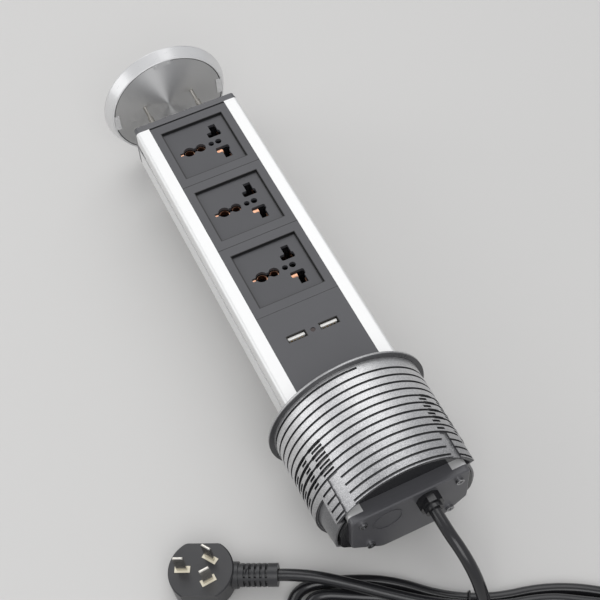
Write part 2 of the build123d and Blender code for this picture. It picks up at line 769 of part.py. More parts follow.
def usb_panel():
    """The long front plate below the sockets, with its outlets, lamp hole and the board's posts."""
    high = module_centre(MODULE_COUNT - 1) - MODULE_PITCH / 2 - MODULE_GAP / 2
    y = (TOWER_LOW, high)
    half = INSERT_HALF - MODULE_GAP
    body = block((-half, half), y, (frame_back(), FRONT_Z))
    body += block((-FRAME_FLANGE_HALF, FRAME_FLANGE_HALF), y, flange_span())
    wall = PANEL_SIDE_WALL
    body -= block(
        (-half + wall, half - wall), (y[0] + wall, y[1] - wall), (0, FRONT_Z - PANEL_SKIN)
    )
    outlet = Rectangle(USB_WIDTH + 2 * USB_PANEL_ROOM, USB_HEIGHT + 2 * USB_PANEL_ROOM)
    for side in (-1, 1):
        hole = Pos(side * USB_X, USB_Y) * outlet
        body -= upright(hole, frame_back(), FRONT_Z + OVERRUN)
    lamp = Pos(0, USB_Y) * Circle(LAMP_RADIUS + LAMP_ROOM)
    body -= upright(lamp, frame_back(), FRONT_Z + OVERRUN)
    for x, y_place in board_posts():
        post = Pos(x, y_place) * Circle(BOARD_POST_RADIUS)
        body += upright(post, board_top(), FRONT_Z - PANEL_SKIN)
    room = GLAND_SHANK_RADIUS + GLAND_NIB + GLAND_ROOM
    return body - rod(GLAND_X, GLAND_Z, room, TOWER_LOW - OVERRUN, gland_inner_end() + GLAND_ROOM)


def board_top():
    return FRONT_Z - USB_SETBACK - USB_SHELL_DEPTH


def board_posts():
    x = BOARD_WIDTH / 2 - BOARD_POST_INSET
    low, high = BOARD_LOW + BOARD_POST_INSET, BOARD_HIGH - BOARD_POST_INSET
    return [(side * x, y) for side in (-1, 1) for y in (low, high)]


def usb_shell(side):
    high = FRONT_Z - USB_SETBACK
    wall = 2 * USB_SHELL_WALL
    outer = Pos(side * USB_X, USB_Y) * Rectangle(USB_WIDTH, USB_HEIGHT)
    inner = Pos(side * USB_X, USB_Y) * Rectangle(USB_WIDTH - wall, USB_HEIGHT - wall)
    body = upright(outer, board_top(), high)
    return body - upright(inner, board_top() + USB_SHELL_BACK, high + OVERRUN)


def tongue_middle():
    return USB_Y + TONGUE_OFFSET


def usb_tongue(side):
    face = Pos(side * USB_X, tongue_middle()) * Rectangle(TONGUE_WIDTH, TONGUE_HEIGHT)
    return upright(face, board_top() + USB_SHELL_BACK, FRONT_Z - USB_SETBACK - TONGUE_SETBACK)


def usb_contacts():
    springs = []
    high = FRONT_Z - USB_SETBACK - 2 * TONGUE_SETBACK
    top = tongue_middle() - TONGUE_HEIGHT / 2
    for side in (-1, 1):
        for index in range(USB_CONTACT_COUNT):
            x = side * USB_X + USB_CONTACT_PITCH * (index - (USB_CONTACT_COUNT - 1) / 2)
            half = USB_CONTACT_WIDTH / 2
            springs.append(
                block(
                    (x - half, x + half),
                    (top - USB_CONTACT_HEIGHT, top),
                    (high - USB_CONTACT_LENGTH, high),
                )
            )
    return Compound(springs)


def led_lens():
    place = Pos(0, USB_Y)
    body = upright(place * Circle(LAMP_RADIUS), board_top(), FRONT_Z - LAMP_SETBACK)
    inside = FRONT_Z - PANEL_SKIN
    return body + upright(place * Circle(LAMP_FLANGE_RADIUS), inside - BOARD_THICKNESS, inside)


def usb_board():
    half = BOARD_WIDTH / 2
    low = board_top() - BOARD_THICKNESS
    body = block((-half, half), (BOARD_LOW, BOARD_HIGH), (low, board_top()))
    width, depth, tall = COIL_SIZE
    coil_y = (BOARD_LOW + OVERRUN, BOARD_LOW + OVERRUN + depth)
    body += block((-half + OVERRUN, -half + OVERRUN + width), coil_y, (low - tall, low))
    can = Pos(half - 2 * CAPACITOR_RADIUS, BOARD_LOW + 2 * CAPACITOR_RADIUS) * Circle(CAPACITOR_RADIUS)
    return body + upright(can, low - CAPACITOR_LENGTH, low)


def inside_back():
    return BACK_Z + EXTRUSION_WALL


def terminal_block():
    high = inside_back() + TERMINAL_HEIGHT
    y = (TERMINAL_LOW, TERMINAL_HIGH)
    body = block((-TERMINAL_HALF, TERMINAL_HALF), y, (inside_back(), high))
    for index in (-1, 0, 1):
        hole = Pos(index * WIRE_PITCH, (TERMINAL_LOW + TERMINAL_HIGH) / 2) * Circle(SCREW_HEAD_RADIUS)
        body -= upright(hole, high - SCREW_HEAD_HEIGHT, high + OVERRUN)
    return body


def wire_z():
    return inside_back() + TERMINAL_HEIGHT / 2


def bus_wire(pole):
    """A wire from the terminal block to the lower end of one bus strip."""
    start_x = {"earth": -WIRE_PITCH, "live": WIRE_PITCH, "neutral": 0}[pole]
    end_x = sum(bus_x(pole)) / 2
    end_y = bus_low()
    end_z = bus_top() - BUS_THICKNESS / 2
    gap = end_y - TERMINAL_HIGH
    points = [
        (start_x, TERMINAL_HIGH, wire_z()),
        (start_x, TERMINAL_HIGH + gap / 4, wire_z()),
        (end_x, end_y - gap / 4, end_z),
        (end_x, end_y, end_z),
    ]
    path = FilletPolyline(*points, radius=WIRE_BEND)
    start = Plane(origin=path @ 0, z_dir=path % 0)
    return sweep(start * Circle(WIRE_RADIUS), path=path)


def cord_cores():
    """The three cores, from the cord's end inside the gland to the terminal block."""
    cores = []
    spread = GLAND_SHANK_RADIUS / 2
    start_y = gland_inner_end()
    for index in (-1, 0, 1):
        middle = (start_y + TERMINAL_LOW) / 2
        points = [
            (GLAND_X + index * spread, start_y, GLAND_Z),
            (GLAND_X + index * spread, start_y + WIRE_BEND, GLAND_Z),
            (index * WIRE_PITCH, middle + WIRE_BEND, wire_z()),
            (index * WIRE_PITCH, TERMINAL_LOW, wire_z()),
        ]
        path = FilletPolyline(*points, radius=WIRE_BEND / 2)
        start = Plane(origin=path @ 0, z_dir=path % 0)
        cores.append(sweep(start * Circle(CORE_RADIUS), path=path))
    return Compound(cores)


def foot_collar():
    """Ears round the tower's lower end, which stop against the lower guide ring."""
    grown = section(COLLAR_PROUD) & Circle(COLLAR_RADIUS)
    face = grown - section()
    face -= rectangle((-TOWER_WIDTH, TOWER_WIDTH), (FRONT_Z - FLANK_CORNER, FRONT_Z + COLLAR_RADIUS))
    half = TOWER_WIDTH / 2
    depth = FLANK_GROOVE_DEPTH - COLLAR_LUG_CLEARANCE
    z = (GROOVE_LOW_Z + COLLAR_LUG_CLEARANCE, GROOVE_HIGH_Z - COLLAR_LUG_CLEARANCE)
    lug = rectangle((half - depth, half + COLLAR_LUG_CLEARANCE), z)
    face += lug + mirror(lug, Plane.YZ)
    return along(face, TOWER_LOW, collar_top())


def end_cap():
    low = TOWER_LOW - END_CAP_THICKNESS
    body = along(section(), low, TOWER_LOW)
    body = chamfer(body.faces().sort_by(Axis.Y)[0].edges(), END_CAP_EDGE)
    line = Circle(BLANK_RADIUS) - Circle(BLANK_RADIUS - BLANK_LINE)
    body += along(Pos(BLANK_X, BLANK_Z) * line, low - BLANK_RAISE, low)
    for x, z in screw_points():
        body -= rod(x, z, SCREW_RADIUS + SCREW_HOLE_CLEARANCE, low - OVERRUN, TOWER_LOW + OVERRUN)
    return body - rod(GLAND_X, GLAND_Z, GLAND_SHANK_RADIUS, low - OVERRUN, TOWER_LOW + OVERRUN)


def end_cap_screws():
    face = TOWER_LOW - END_CAP_THICKNESS
    screws = []
    for x, z in screw_points():
        head = rod(x, z, SCREW_HEAD_RADIUS, face - SCREW_HEAD_HEIGHT, face)
        slot = SCREW_RADIUS / 2
        driver = (face - SCREW_HEAD_HEIGHT - OVERRUN, face - SCREW_HEAD_HEIGHT / 2)
        reach = SCREW_RECESS / 2
        head -= block((x - reach, x + reach), driver, (z - slot / 2, z + slot / 2))
        head -= block((x - slot / 2, x + slot / 2), driver, (z - reach, z + reach))
        screws.append(head + rod(x, z, SCREW_RADIUS, face, face + SCREW_LENGTH))
    return Compound(screws)


def gland_outer_end():
    return TOWER_LOW - END_CAP_THICKNESS - GLAND_LENGTH


def gland_inner_end():
    return TOWER_LOW - END_CAP_THICKNESS + GLAND_SHANK_LENGTH


def cord_gland():
    """The faceted bushing, solid where the cord passes through it."""
    face = TOWER_LOW - END_CAP_THICKNESS
    place = Pos(GLAND_X, GLAND_Z)
    flare = face - GLAND_LENGTH + GLAND_NECK_LENGTH
    head = along(place * RegularPolygon(GLAND_HEAD_RADIUS, GLAND_SIDES), flare, face)
    neck = along(place * Circle(GLAND_NECK_RADIUS), gland_outer_end(), flare)
    shank = rod(GLAND_X, GLAND_Z, GLAND_SHANK_RADIUS, face, gland_inner_end())
    nib_low = TOWER_LOW + GLAND_NIB / 2
    nib = rod(GLAND_X, GLAND_Z, GLAND_SHANK_RADIUS + GLAND_NIB, nib_low, nib_low + GLAND_NIB)
    return head + neck + shank + nib


def floor_line():
    return FLOOR_Z + CORD_RADIUS


def hank_place(along_axis, across, height):
    """A point of the hank's own frame, with its axis and its waist's centre, in the part's frame."""
    bearing = math.radians(HANK_BEARING)
    x = HANK_X + along_axis * math.cos(bearing) - across * math.sin(bearing)
    y = HANK_Y + along_axis * math.sin(bearing) + across * math.cos(bearing)
    return Vector(x, y, height)


def hank_heading(angle):
    bearing = math.radians(HANK_BEARING + angle)
    return Vector(math.cos(bearing), math.sin(bearing), 0)


def hank_inset(station):
    """How far the loops have spiralled in: steadily in, then out again on the upper layer."""
    turning = CLIMB_TO
    steps = station if station <= turning else 2 * turning - station
    return HANK_PITCH * steps / STATIONS_PER_LOOP


def hank_height(station):
    share = (station - CLIMB_FROM) / (CLIMB_TO + 1 - CLIMB_FROM)
    return floor_line() + LAYER_RISE * min(max(share, 0), 1)


def hank_station(station):
    """A point and heading of the hank: lobes' widest places, round ends and the waist in turn."""
    inset = hank_inset(station)
    lobe = HANK_LOBE - inset
    end = HANK_LENGTH - inset
    waist = HANK_WAIST - inset
    place = HANK_LOBE_PLACE
    along_axis, across, heading = (
        (place, -lobe, 0) if station else (HANK_START, start_across(), 0),
        (end, 0, 90),
        (place, lobe, 180),
        (0, waist, 180),
        (-place, lobe, 180),
        (-end, 0, 270),
        (-place, -lobe, 0),
        (0, -waist, 0),
    )[station % STATIONS_PER_LOOP]
    point = hank_place(along_axis, across, hank_height(station))
    return point, hank_heading(heading)


def biarc(first, second):
    """Two arcs, tangent to each other, between two points with headings."""
    (start, leaving), (end, arriving) = first, second
    gap = end - start
    both = leaving + arriving
    spare = 2 * (1 - leaving.dot(arriving))
    if spare < TINY:
        reach = gap.dot(gap) / (4 * gap.dot(arriving))
    else:
        root = math.sqrt(gap.dot(both) ** 2 + spare * gap.dot(gap))
        reach = (root - gap.dot(both)) / spare
    joint = (start + end + (leaving - arriving) * reach) / 2
    towards = (end - arriving * reach) - (start + leaving * reach)
    first_arc = TangentArc(start, joint, tangent=leaving)
    second_arc = TangentArc(joint, end, tangent=towards.normalized())
    return [first_arc, second_arc]


def hank_path():
    edges = []
    for station in range(HANK_LAST):
        edges += biarc(hank_station(station), hank_station(station + 1))
    return Wire(edges)


def cord_hank():
    """The looped cord as one unbroken tube on biarcs."""
    path = hank_path()
    start = Plane(origin=path @ 0, z_dir=path % 0)
    tube = sweep(start * Circle(CORD_RADIUS), path=path)
    ideal = math.pi * CORD_RADIUS**2 * path.length
    print(f"cord_hank: length {path.length:.0f}, volume over ideal {tube.volume / ideal:.4f}")
    return tube


def least_gap(path):
    """The least gap of the hank to itself, measured between points that lie well apart on it."""
    count = math.ceil(path.length / CORD_RADIUS * 2)
    points = [path @ (i / count) for i in range(count + 1)]
    step = path.length / count
    apart = math.ceil(6 * CORD_RADIUS / step)
    least = min(
        (points[i] - points[j]).length
        for i in range(len(points))
        for j in range(i + apart, len(points))
    )
    print(f"cord_hank: least gap to itself {least - 2 * CORD_RADIUS:.2f}")


def cord_tube(name, points):
    """A tube on straight runs joined by arcs, each as large as its two runs allow."""
    points = [Vector(*p) for p in points]
    radii = []
    for before, here, after in zip(points, points[1:], points[2:]):
        turn = math.radians((here - before).get_angle(after - here))
        shorter = min((here - before).length, (after - here).length)
        radii.append(RADIUS_SHARE * shorter / math.tan(turn / 2))
    path = FilletPolyline(*points, radius=radii)
    start = Plane(origin=path @ 0, z_dir=path % 0)
    tube = sweep(start * Circle(CORD_RADIUS), path=path)
    ideal = math.pi * CORD_RADIUS**2 * path.length
    print(f"{name}: radii {', '.join(f'{r:.0f}' for r in radii)}, length {path.length:.0f}, "
          f"volume over ideal {tube.volume / ideal:.4f}")
    return tube


def lead_place(run, height):
    """A point of the lead's hanging stretch, which leaves the gland straight and then bears off."""
    bearing = math.radians(LEAD_BEARING)
    turned_run = run - LEAD_STRAIGHT
    x = GLAND_X + turned_run * math.sin(bearing)
    return (x, gland_outer_end() - LEAD_STRAIGHT - turned_run * math.cos(bearing), height)


def lead_points():
    start, _ = hank_station(0)
    drop = GLAND_Z - floor_line()
    return [
        (GLAND_X, gland_outer_end(), GLAND_Z),
        lead_place(LEAD_STRAIGHT, GLAND_Z),
        *(lead_place(run, GLAND_Z - drop * share) for run, share in LEAD_ROUTE),
        tuple(hank_place(HANK_START - LEAD_LAST_RUN, start_across(), floor_line())),
        tuple(start),
    ]


def start_across():
    return -(HANK_LOBE + HANK_SAG)


def tail_points():
    """Along the hank's last strand, over its left lobe and straight into the strain relief."""
    start, _ = hank_station(HANK_LAST)
    relief_end = RELIEF_START + RELIEF_LENGTH
    return [
        tuple(start),
        tuple(hank_place(-TAIL_FIRST_RUN, HANK_WAIST - hank_inset(HANK_LAST), start.Z)),
        *(tuple(hank_place(place, across, start.Z + rise)) for place, across, rise in TAIL_ROUTE),
        tuple(plug_point(relief_end + TAIL_LAST_RUN, 0, -RELIEF_AXIS_DROP)),
        tuple(plug_point(relief_end, 0, -RELIEF_AXIS_DROP)),
    ]


def plug_frame():
    """The plug's own frame: X along its cable, Z out of its face, origin in the face's centre."""
    bearing = math.radians(PLUG_BEARING)
    tilt = math.radians(PLUG_TILT)
    cable = Vector(
        math.cos(bearing) * math.cos(tilt), math.sin(bearing) * math.cos(tilt), math.sin(tilt)
    )
    normal = Vector(
        -math.cos(bearing) * math.sin(tilt), -math.sin(bearing) * math.sin(tilt), math.cos(tilt)
    )
    lowest = PLUG_RADIUS * math.sin(tilt) + PLUG_HEIGHT * math.cos(tilt)
    return Plane(origin=(PLUG_X, PLUG_Y, FLOOR_Z + lowest), x_dir=cable, z_dir=normal)


def plug_point(along_cable, across, out):
    return plug_frame().from_local_coords(Vector(along_cable, across, out))


def plug_outline():
    return Circle(PLUG_RADIUS) & Rectangle(2 * PLUG_RADIUS, 2 * PLUG_FLAT)


def blade_places():
    """Each blade's place on the plug's face and its angle: earth, then the two poles."""
    return [
        (EARTH_BLADE_ALONG, 0, 0),
        (LINE_BLADE_ALONG, LINE_BLADE_ACROSS, -LINE_BLADE_ANGLE),
        (LINE_BLADE_ALONG, -LINE_BLADE_ACROSS, LINE_BLADE_ANGLE),
    ]


def plug_body():
    head = upright(Circle(PLUG_RADIUS), -PLUG_HEIGHT, 0)
    head = chamfer(head.edges().sort_by(Axis.Z)[0], PLUG_BACK_EDGE)
    head = chamfer(head.edges().sort_by(Axis.Z)[-1], PLUG_FACE_EDGE)
    head &= upright(plug_outline(), -PLUG_HEIGHT, 0)
    for x, y, angle in blade_places():
        socket = Pos(x, y) * Rot(0, 0, angle) * Rectangle(BLADE_WIDTH, BLADE_THICKNESS)
        head -= upright(socket, -BLADE_ROOT, OVERRUN)
    flat = Plane(origin=(RELIEF_START, 0, -RELIEF_AXIS_DROP), z_dir=(-1, 0, 0))
    root = extrude(flat * Circle(RELIEF_ROOT_RADIUS), amount=RELIEF_ROOT)
    return plug_frame() * (head + root)


def plug_blades():
    blades = []
    for x, y, angle in blade_places():
        blade = Pos(x, y) * Rot(0, 0, angle) * Rectangle(BLADE_WIDTH, BLADE_THICKNESS)
        solid = upright(blade, -BLADE_ROOT, BLADE_LENGTH)
        blades.append(chamfer(solid.faces().sort_by(Axis.Z)[-1].edges(), BLADE_TIP))
    return plug_frame() * Compound(blades)


def blade_collars():
    collars = []
    for x, y, angle in blade_places():
        place = Pos(x, y) * Rot(0, 0, angle)
        face = place * (Rectangle(COLLAR_LENGTH, COLLAR_WIDTH) - Rectangle(BLADE_WIDTH, BLADE_THICKNESS))
        collars.append(upright(face, 0, COLLAR_RAISE))
    return plug_frame() * Compound(collars)


def plug_relief():
    """The strain relief: a round tail with five rows of slots round its core."""
    high = RELIEF_START + RELIEF_LENGTH
    plane = Plane(origin=(RELIEF_START, 0, -RELIEF_AXIS_DROP), x_dir=(0, 1, 0), z_dir=(1, 0, 0))
    body = extrude(plane * Circle(RELIEF_RADIUS), amount=RELIEF_LENGTH)
    first = high - RELIEF_END_BAND - RELIEF_SLOT_PITCH * (RELIEF_SLOTS - 1) - RELIEF_SLOT_WIDTH
    band = Circle(RELIEF_RADIUS + OVERRUN) - Circle(RELIEF_CORE)
    keep = RELIEF_SLOT_WIDTH / 2
    for turn in (0, 90):
        band -= Rot(0, 0, turn + 45) * Rectangle(4 * RELIEF_RADIUS, 2 * keep)
    for row in range(RELIEF_SLOTS):
        place = Plane(
            origin=(first + RELIEF_SLOT_PITCH * row, 0, -RELIEF_AXIS_DROP),
            x_dir=(0, 1, 0),
            z_dir=(1, 0, 0),
        )
        body -= extrude(place * band, amount=RELIEF_SLOT_WIDTH)
    return plug_frame() * body


def cord_tie():
    """A thin loop of wire over the hank's waist, its ends pressed to the floor beside the strands."""
    reach = CORD_RADIUS + TIE_GAP + TIE_RADIUS
    high_side = HANK_WAIST - hank_inset(HANK_WAIST_STATION) + reach
    low_side = -(HANK_WAIST - hank_inset(HANK_LOW_STATION)) - reach
    top = floor_line() + LAYER_RISE + reach
    outline = Polyline(
        hank_place(0, high_side, FLOOR_Z),
        hank_place(0, high_side, floor_line()),
        hank_place(0, high_side - TIE_SLOPE, top),
        hank_place(0, low_side + TIE_SLOPE, top),
        hank_place(0, low_side, floor_line()),
        hank_place(0, low_side, FLOOR_Z),
    )
    corners = [tuple(v) for v in outline.vertices()]
    path = FilletPolyline(*corners, radius=CORD_RADIUS / 2)
    start = Plane(origin=path @ 0, z_dir=path % 0)
    return sweep(start * Circle(TIE_RADIUS), path=path)


def nodes():
    made = {
        "barrel": barrel(),
        "upper_guide_ring": upper_guide_ring(),
        "lower_guide_ring": lower_guide_ring(),
        "friction_pads": friction_pads(),
        "tower_extrusion": tower_extrusion(),
        "top_cap": top_cap(),
        "lid_posts": lid_posts(),
        "post_sleeves": post_sleeves(),
        "lid_base": lid_base(),
        "lid_rim": lid_rim(),
        "lid_top": lid_top(),
        "lid_tabs": lid_tabs(),
        "usb_panel": usb_panel(),
        "usb_contacts": usb_contacts(),
        "led_lens": led_lens(),
        "usb_board": usb_board(),
        "terminal_block": terminal_block(),
        "cord_cores": cord_cores(),
        "foot_collar": foot_collar(),
        "end_cap": end_cap(),
        "end_cap_screws": end_cap_screws(),
        "cord_gland": cord_gland(),
        "cord_lead": cord_tube("cord_lead", lead_points()),
        "cord_hank": cord_hank(),
        "cord_tail": cord_tube("cord_tail", tail_points()),
        "cord_tie": cord_tie(),
        "plug_body": plug_body(),
        "plug_blades": plug_blades(),
        "blade_collars": blade_collars(),
        "plug_relief": plug_relief(),
    }
    for index in range(MODULE_COUNT):
        number = index + 1
        made[f"socket_frame_{number}"] = socket_frame(index)
        made[f"socket_face_{number}"] = socket_face(index)
        made[f"socket_housing_{number}"] = socket_housing(index)
    for pole in clip_places():
        made[f"{pole}_contacts"] = contacts(pole)
        made[f"{pole}_wire"] = bus_wire(pole)
    for number, side in ((1, -1), (2, 1)):
        made[f"usb_shell_{number}"] = usb_shell(side)
        made[f"usb_tongue_{number}"] = usb_tongue(side)
    return made


os.makedirs("parts", exist_ok=True)
least_gap(hank_path())
for node, shape in nodes().items():
    shape.label = node
    export_step(shape, f"parts/{node}.step")
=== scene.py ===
# %% [markdown]
# # A pop up desk socket, dressed for its portrait
# The solid model comes from CAD and is already in its place. This file gives every piece the surface of
# the real one, makes the few pieces that need finer forms, lays the mains cord as one smooth line and sets
# up the camera, the lamps and the floor. Y runs along the tower to the lid, Z points out of the sockets,
# and the floor is the plane that the barrel's flange touches. Blender takes metres. Sizes are written in
# millimetres here, and are turned to metres where Blender takes them.

import itertools
import math

import bmesh
import bpy
from mathutils import Matrix, Vector


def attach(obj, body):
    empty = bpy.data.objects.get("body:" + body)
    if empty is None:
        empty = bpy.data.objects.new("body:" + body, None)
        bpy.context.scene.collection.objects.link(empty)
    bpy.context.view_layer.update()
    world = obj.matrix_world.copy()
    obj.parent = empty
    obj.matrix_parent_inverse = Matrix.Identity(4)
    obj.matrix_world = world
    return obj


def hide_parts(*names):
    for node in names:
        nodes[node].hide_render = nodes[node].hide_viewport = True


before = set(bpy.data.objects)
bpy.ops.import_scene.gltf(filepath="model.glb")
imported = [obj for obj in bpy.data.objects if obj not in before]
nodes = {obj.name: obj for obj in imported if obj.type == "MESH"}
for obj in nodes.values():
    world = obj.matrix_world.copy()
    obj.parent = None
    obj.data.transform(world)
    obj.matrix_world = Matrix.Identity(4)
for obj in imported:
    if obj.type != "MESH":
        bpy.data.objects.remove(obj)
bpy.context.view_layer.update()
MM = 0.001
print("nodes loaded:", len(nodes))

# %% [markdown]
# ## Camera
# The photograph was taken from above and from the lower left, with the tower lying on its back. A camera
# can be turned by eye until it fits, or solved. Here its place and its three directions were solved from
# the straight edges of the tower and the round rims, so that every piece falls where the photograph has
# it, and they are written down as they came out and not rounded to nice numbers.

# %% Camera
FLOOR = -53
camera_data = bpy.data.cameras.new("camera")
camera_data.sensor_width = 36
camera_data.lens = 76.93
camera = bpy.data.objects.new("camera", camera_data)
bpy.context.collection.objects.link(camera)
eye = Vector((-0.169264, -0.355791, 0.68455))
right = Vector((0.900644, -0.432249, -0.044735))
down = Vector((-0.378062, -0.728634, -0.571106))
into = Vector((0.214264, 0.531276, -0.819656))
facing = Matrix((right, -down, -into)).transposed().to_4x4()
camera.matrix_world = Matrix.Translation(eye) @ facing
bpy.context.scene.camera = camera
print("camera height over the floor, mm:", round(eye.z / MM - FLOOR))

# %% [markdown]
# ## Colours and nodes
# A colour picker shows sRGB values, but the shader mixes light in linear values, so one small function
# turns a hex code into linear. Nodes can be wired by hand in the editor, but a script stays readable only
# if a node takes one line: a second function gives a node what its inputs take, be it another node's
# socket or a plain value, and a third adds a node with its settings and does the same for it.


# %% Colour and node helpers
def linear(code):
    """A hex colour such as 8d9093 as the linear red, green, blue and alpha that a shader takes."""
    shares = [int(code[i:i + 2], 16) / 255 for i in (0, 2, 4)]
    return [c / 12.92 if c <= 0.04045 else ((c + 0.055) / 1.055) ** 2.4 for c in shares] + [1]


def feed(tree, node, inputs):
    """Gives a node's inputs, by name or number, a socket to link to or a value of their own."""
    for name, given in inputs.items():
        if isinstance(given, bpy.types.NodeSocket):
            tree.links.new(given, node.inputs[name])
        else:
            node.inputs[name].default_value = given


def add(tree, kind, inputs=None, **settings):
    """Adds a node of a kind with its settings, and feeds its inputs."""
    node = tree.nodes.new("ShaderNode" + kind)
    for name, value in settings.items():
        setattr(node, name, value)
    feed(tree, node, inputs or {})
    return node


def new_material(name, color, roughness, metallic=0.0):
    """A material with one Principled shader, and its tree and shader to build on."""
    material = bpy.data.materials.new(name)
    material.use_nodes = True
    material.diffuse_color = linear(color)
    tree = material.node_tree
    shader = tree.nodes["Principled BSDF"]
    feed(tree, shader, {"Base Color": linear(color), "Roughness": roughness, "Metallic": metallic})
    return material, tree, shader


print("half grey, 808080, in linear values:", round(linear("808080")[0], 3))

# %% [markdown]
# ## Floor, world and lamps
# The object lies on a sheet of pale grey paper, which one large plane shows well enough. Its light could
# come from a picture of a room, but a studio has few lamps, and these are easy to place. A large softbox
# hangs high beyond the tower's right side, where the front strips and the ribs mirror it towards the
# camera. A second one stands in for a white wall at the left, and a third fills the front. A pale world
# lightens the shadows, as the walls of a studio do.

# %% Floor
FLOOR_SIZE = 6
bpy.ops.mesh.primitive_plane_add(size=FLOOR_SIZE, location=(0, 0, FLOOR * MM))
floor = bpy.context.object
floor.name = "floor"
floor.data.materials.append(new_material("pale grey paper sweep", "c7c6c4", 0.85)[0])
print("floor, metres across:", FLOOR_SIZE)

# %% World and lamps
WORLD_LIGHT = 0.68
LAMP_TARGET = Vector((0, 60 * MM, 0))
# Each lamp's name, its place and width in metres, and its power in watts.
LAMPS = (
    ("softbox", (0.36, 0.9, 1.3), 1.35, 8),
    ("left_wall", (-1.05, 0.62, 0.5), 0.85, 3.5),
    ("front_fill", (-0.3, -1.0, 1.3), 1.1, 9.5),
)
world = bpy.data.worlds.new("studio")
bpy.context.scene.world = world
world.use_nodes = True
background = world.node_tree.nodes["Background"]
feed(world.node_tree, background, {"Color": linear("f6f7fa"), "Strength": WORLD_LIGHT})
for name, place, width, power in LAMPS:
    lamp_data = bpy.data.lights.new(name, "AREA")
    lamp_data.size = width
    lamp_data.energy = power
    lamp = bpy.data.objects.new(name, lamp_data)
    bpy.context.collection.objects.link(lamp)
    lamp.location = place
    lamp.rotation_euler = (LAMP_TARGET - lamp.location).to_track_quat("-Z", "Y").to_euler()
bpy.context.scene.view_settings.view_transform = "Standard"
print("lamps:", len(LAMPS))

# %% [markdown]
# ## Mains cord
# A real mains lead is one length of soft round cable. It leaves the gland at the foot of the tower,
# hangs to the floor, runs into a hank of loops held at the waist by a wire tie, and comes out over the
# top of the hank to the plug. Straight runs joined by arcs would look like bent wire, and a simulated
# rope is hard to lay in the loops that one wants. One NURBS line that follows the route's points bends as
# smoothly as cable does and stays put.

# %% Route of the cord
CORD_RADIUS = 3.75
# The height of the cord's middle on the floor, and one layer up.
LAYER = 7.95
LINE = FLOOR + CORD_RADIUS
UPPER = LINE + LAYER
GLAND = (10.5, -89.7, 17)
HANK_MIDDLE = (10.5, -135)
HANK_BEARING = math.radians(-30.5)


def hank_place(along, across, height):
    """A point of the hank's own frame in the part's frame, in millimetres."""
    x = HANK_MIDDLE[0] + along * math.cos(HANK_BEARING) - across * math.sin(HANK_BEARING)
    y = HANK_MIDDLE[1] + along * math.sin(HANK_BEARING) + across * math.cos(HANK_BEARING)
    return (x, y, height)


# A loop's control points along the hank and across it, before the loops spiral in.
LOOP = (
    (78, -27), (111.3, -18), (111.3, 18), (78, 27), (45, 27), (15, 18.3), (-15, 18.3), (-45, 27),
    (-78, 27), (-111.3, 18), (-111.3, -18), (-78, -27), (-45, -27), (-15, -18.3), (15, -18.3), (45, -27),
)
# Past the first place along the hank a loop's points draw in lengthwise, past the second they are an end.
DRAWN_IN_FROM, END_FROM = 60, 100
# Each turn lies this far inside the one before, but an end narrows by a smaller share of it, so that the
# innermost bends stay wide enough.
PITCH = 10.3
ROUND_END = 0.45
# In turns: where the spiral starts to widen again, where it starts to climb, and how long the climb is.
INWARD_TURNS, CLIMB_START, CLIMB_TURNS = 1.75, 1.5, 0.375
LAST_POINT = 37


def hank_point(k):
    """The hank's control point k: the loops spiral in on the floor, and out again one layer up."""
    done = (k + 0.5) / len(LOOP)
    inset = PITCH * min(done, 2 * INWARD_TURNS - done)
    along, across = LOOP[k % len(LOOP)]
    inset_across = inset * (ROUND_END if abs(along) > END_FROM else 1)
    if abs(along) > DRAWN_IN_FROM:
        along -= math.copysign(inset, along)
    across -= math.copysign(inset_across, across)
    share = min(max((done - CLIMB_START) / CLIMB_TURNS, 0), 1)
    return hank_place(along, across, LINE + LAYER * share)


# The tail rises a little more where it leaves the hank.
LEAVING_RISE = 1.6
lead = [
    GLAND, (10.5, -103.5, 17), (12.9, -116.4, 12.5), (14.9, -127.1, 4), (16.3, -134.6, -7.7),
    (17.3, -140.1, -21.5), (19.3, -150.9, -33), (22.6, -168.6, -44),
    hank_place(44, -33, LINE), hank_place(83, -33, LINE),
]
hank = [hank_point(k) for k in range(1, LAST_POINT + 1)]
tail = [
    hank_place(-20, 6.7, UPPER), hank_place(-45, 10.6, UPPER), hank_place(-72, 15.6, UPPER + LEAVING_RISE),
    (-64.2, -69.1, -38.5), (-78.4, -61.7, -39.5),
]
route = lead + hank + tail
print("points in the cord's route:", len(route))

# %% [markdown]
# The sheath is soft PVC, drawn through a round die, so it is smooth, a little glossy and very slightly
# uneven along its length. Black PVC never goes quite black: a broad sheen lies along its upper side. A
# flat black would look like a hole in the picture, so a slow noise varies both the gloss and the surface.

# %% Soft PVC sheath
# The surface wavers over about this many millimetres. Then come the roughness and how far it drifts.
DRAW_MARKS, SHEATH_GLOSS, GLOSS_DRIFT = 6, 0.21, 0.05
soft_pvc, tree, shader = new_material("soft PVC cable sheath", "1d1d1f", SHEATH_GLOSS)
where = add(tree, "TexCoord").outputs["Object"]
waver = add(tree, "TexNoise", {"Vector": where, "Scale": 1 / (DRAW_MARKS * MM), "Detail": 3}).outputs["Fac"]
gloss = add(tree, "MapRange", {
    "Value": waver, "To Min": SHEATH_GLOSS - GLOSS_DRIFT, "To Max": SHEATH_GLOSS + GLOSS_DRIFT,
})
bump = add(tree, "Bump", {"Height": waver, "Strength": 0.12, "Distance": 0.2 * MM})
feed(tree, shader, {"Roughness": gloss.outputs["Result"], "Normal": bump.outputs["Normal"]})
print("nodes in the sheath's material:", len(tree.nodes))

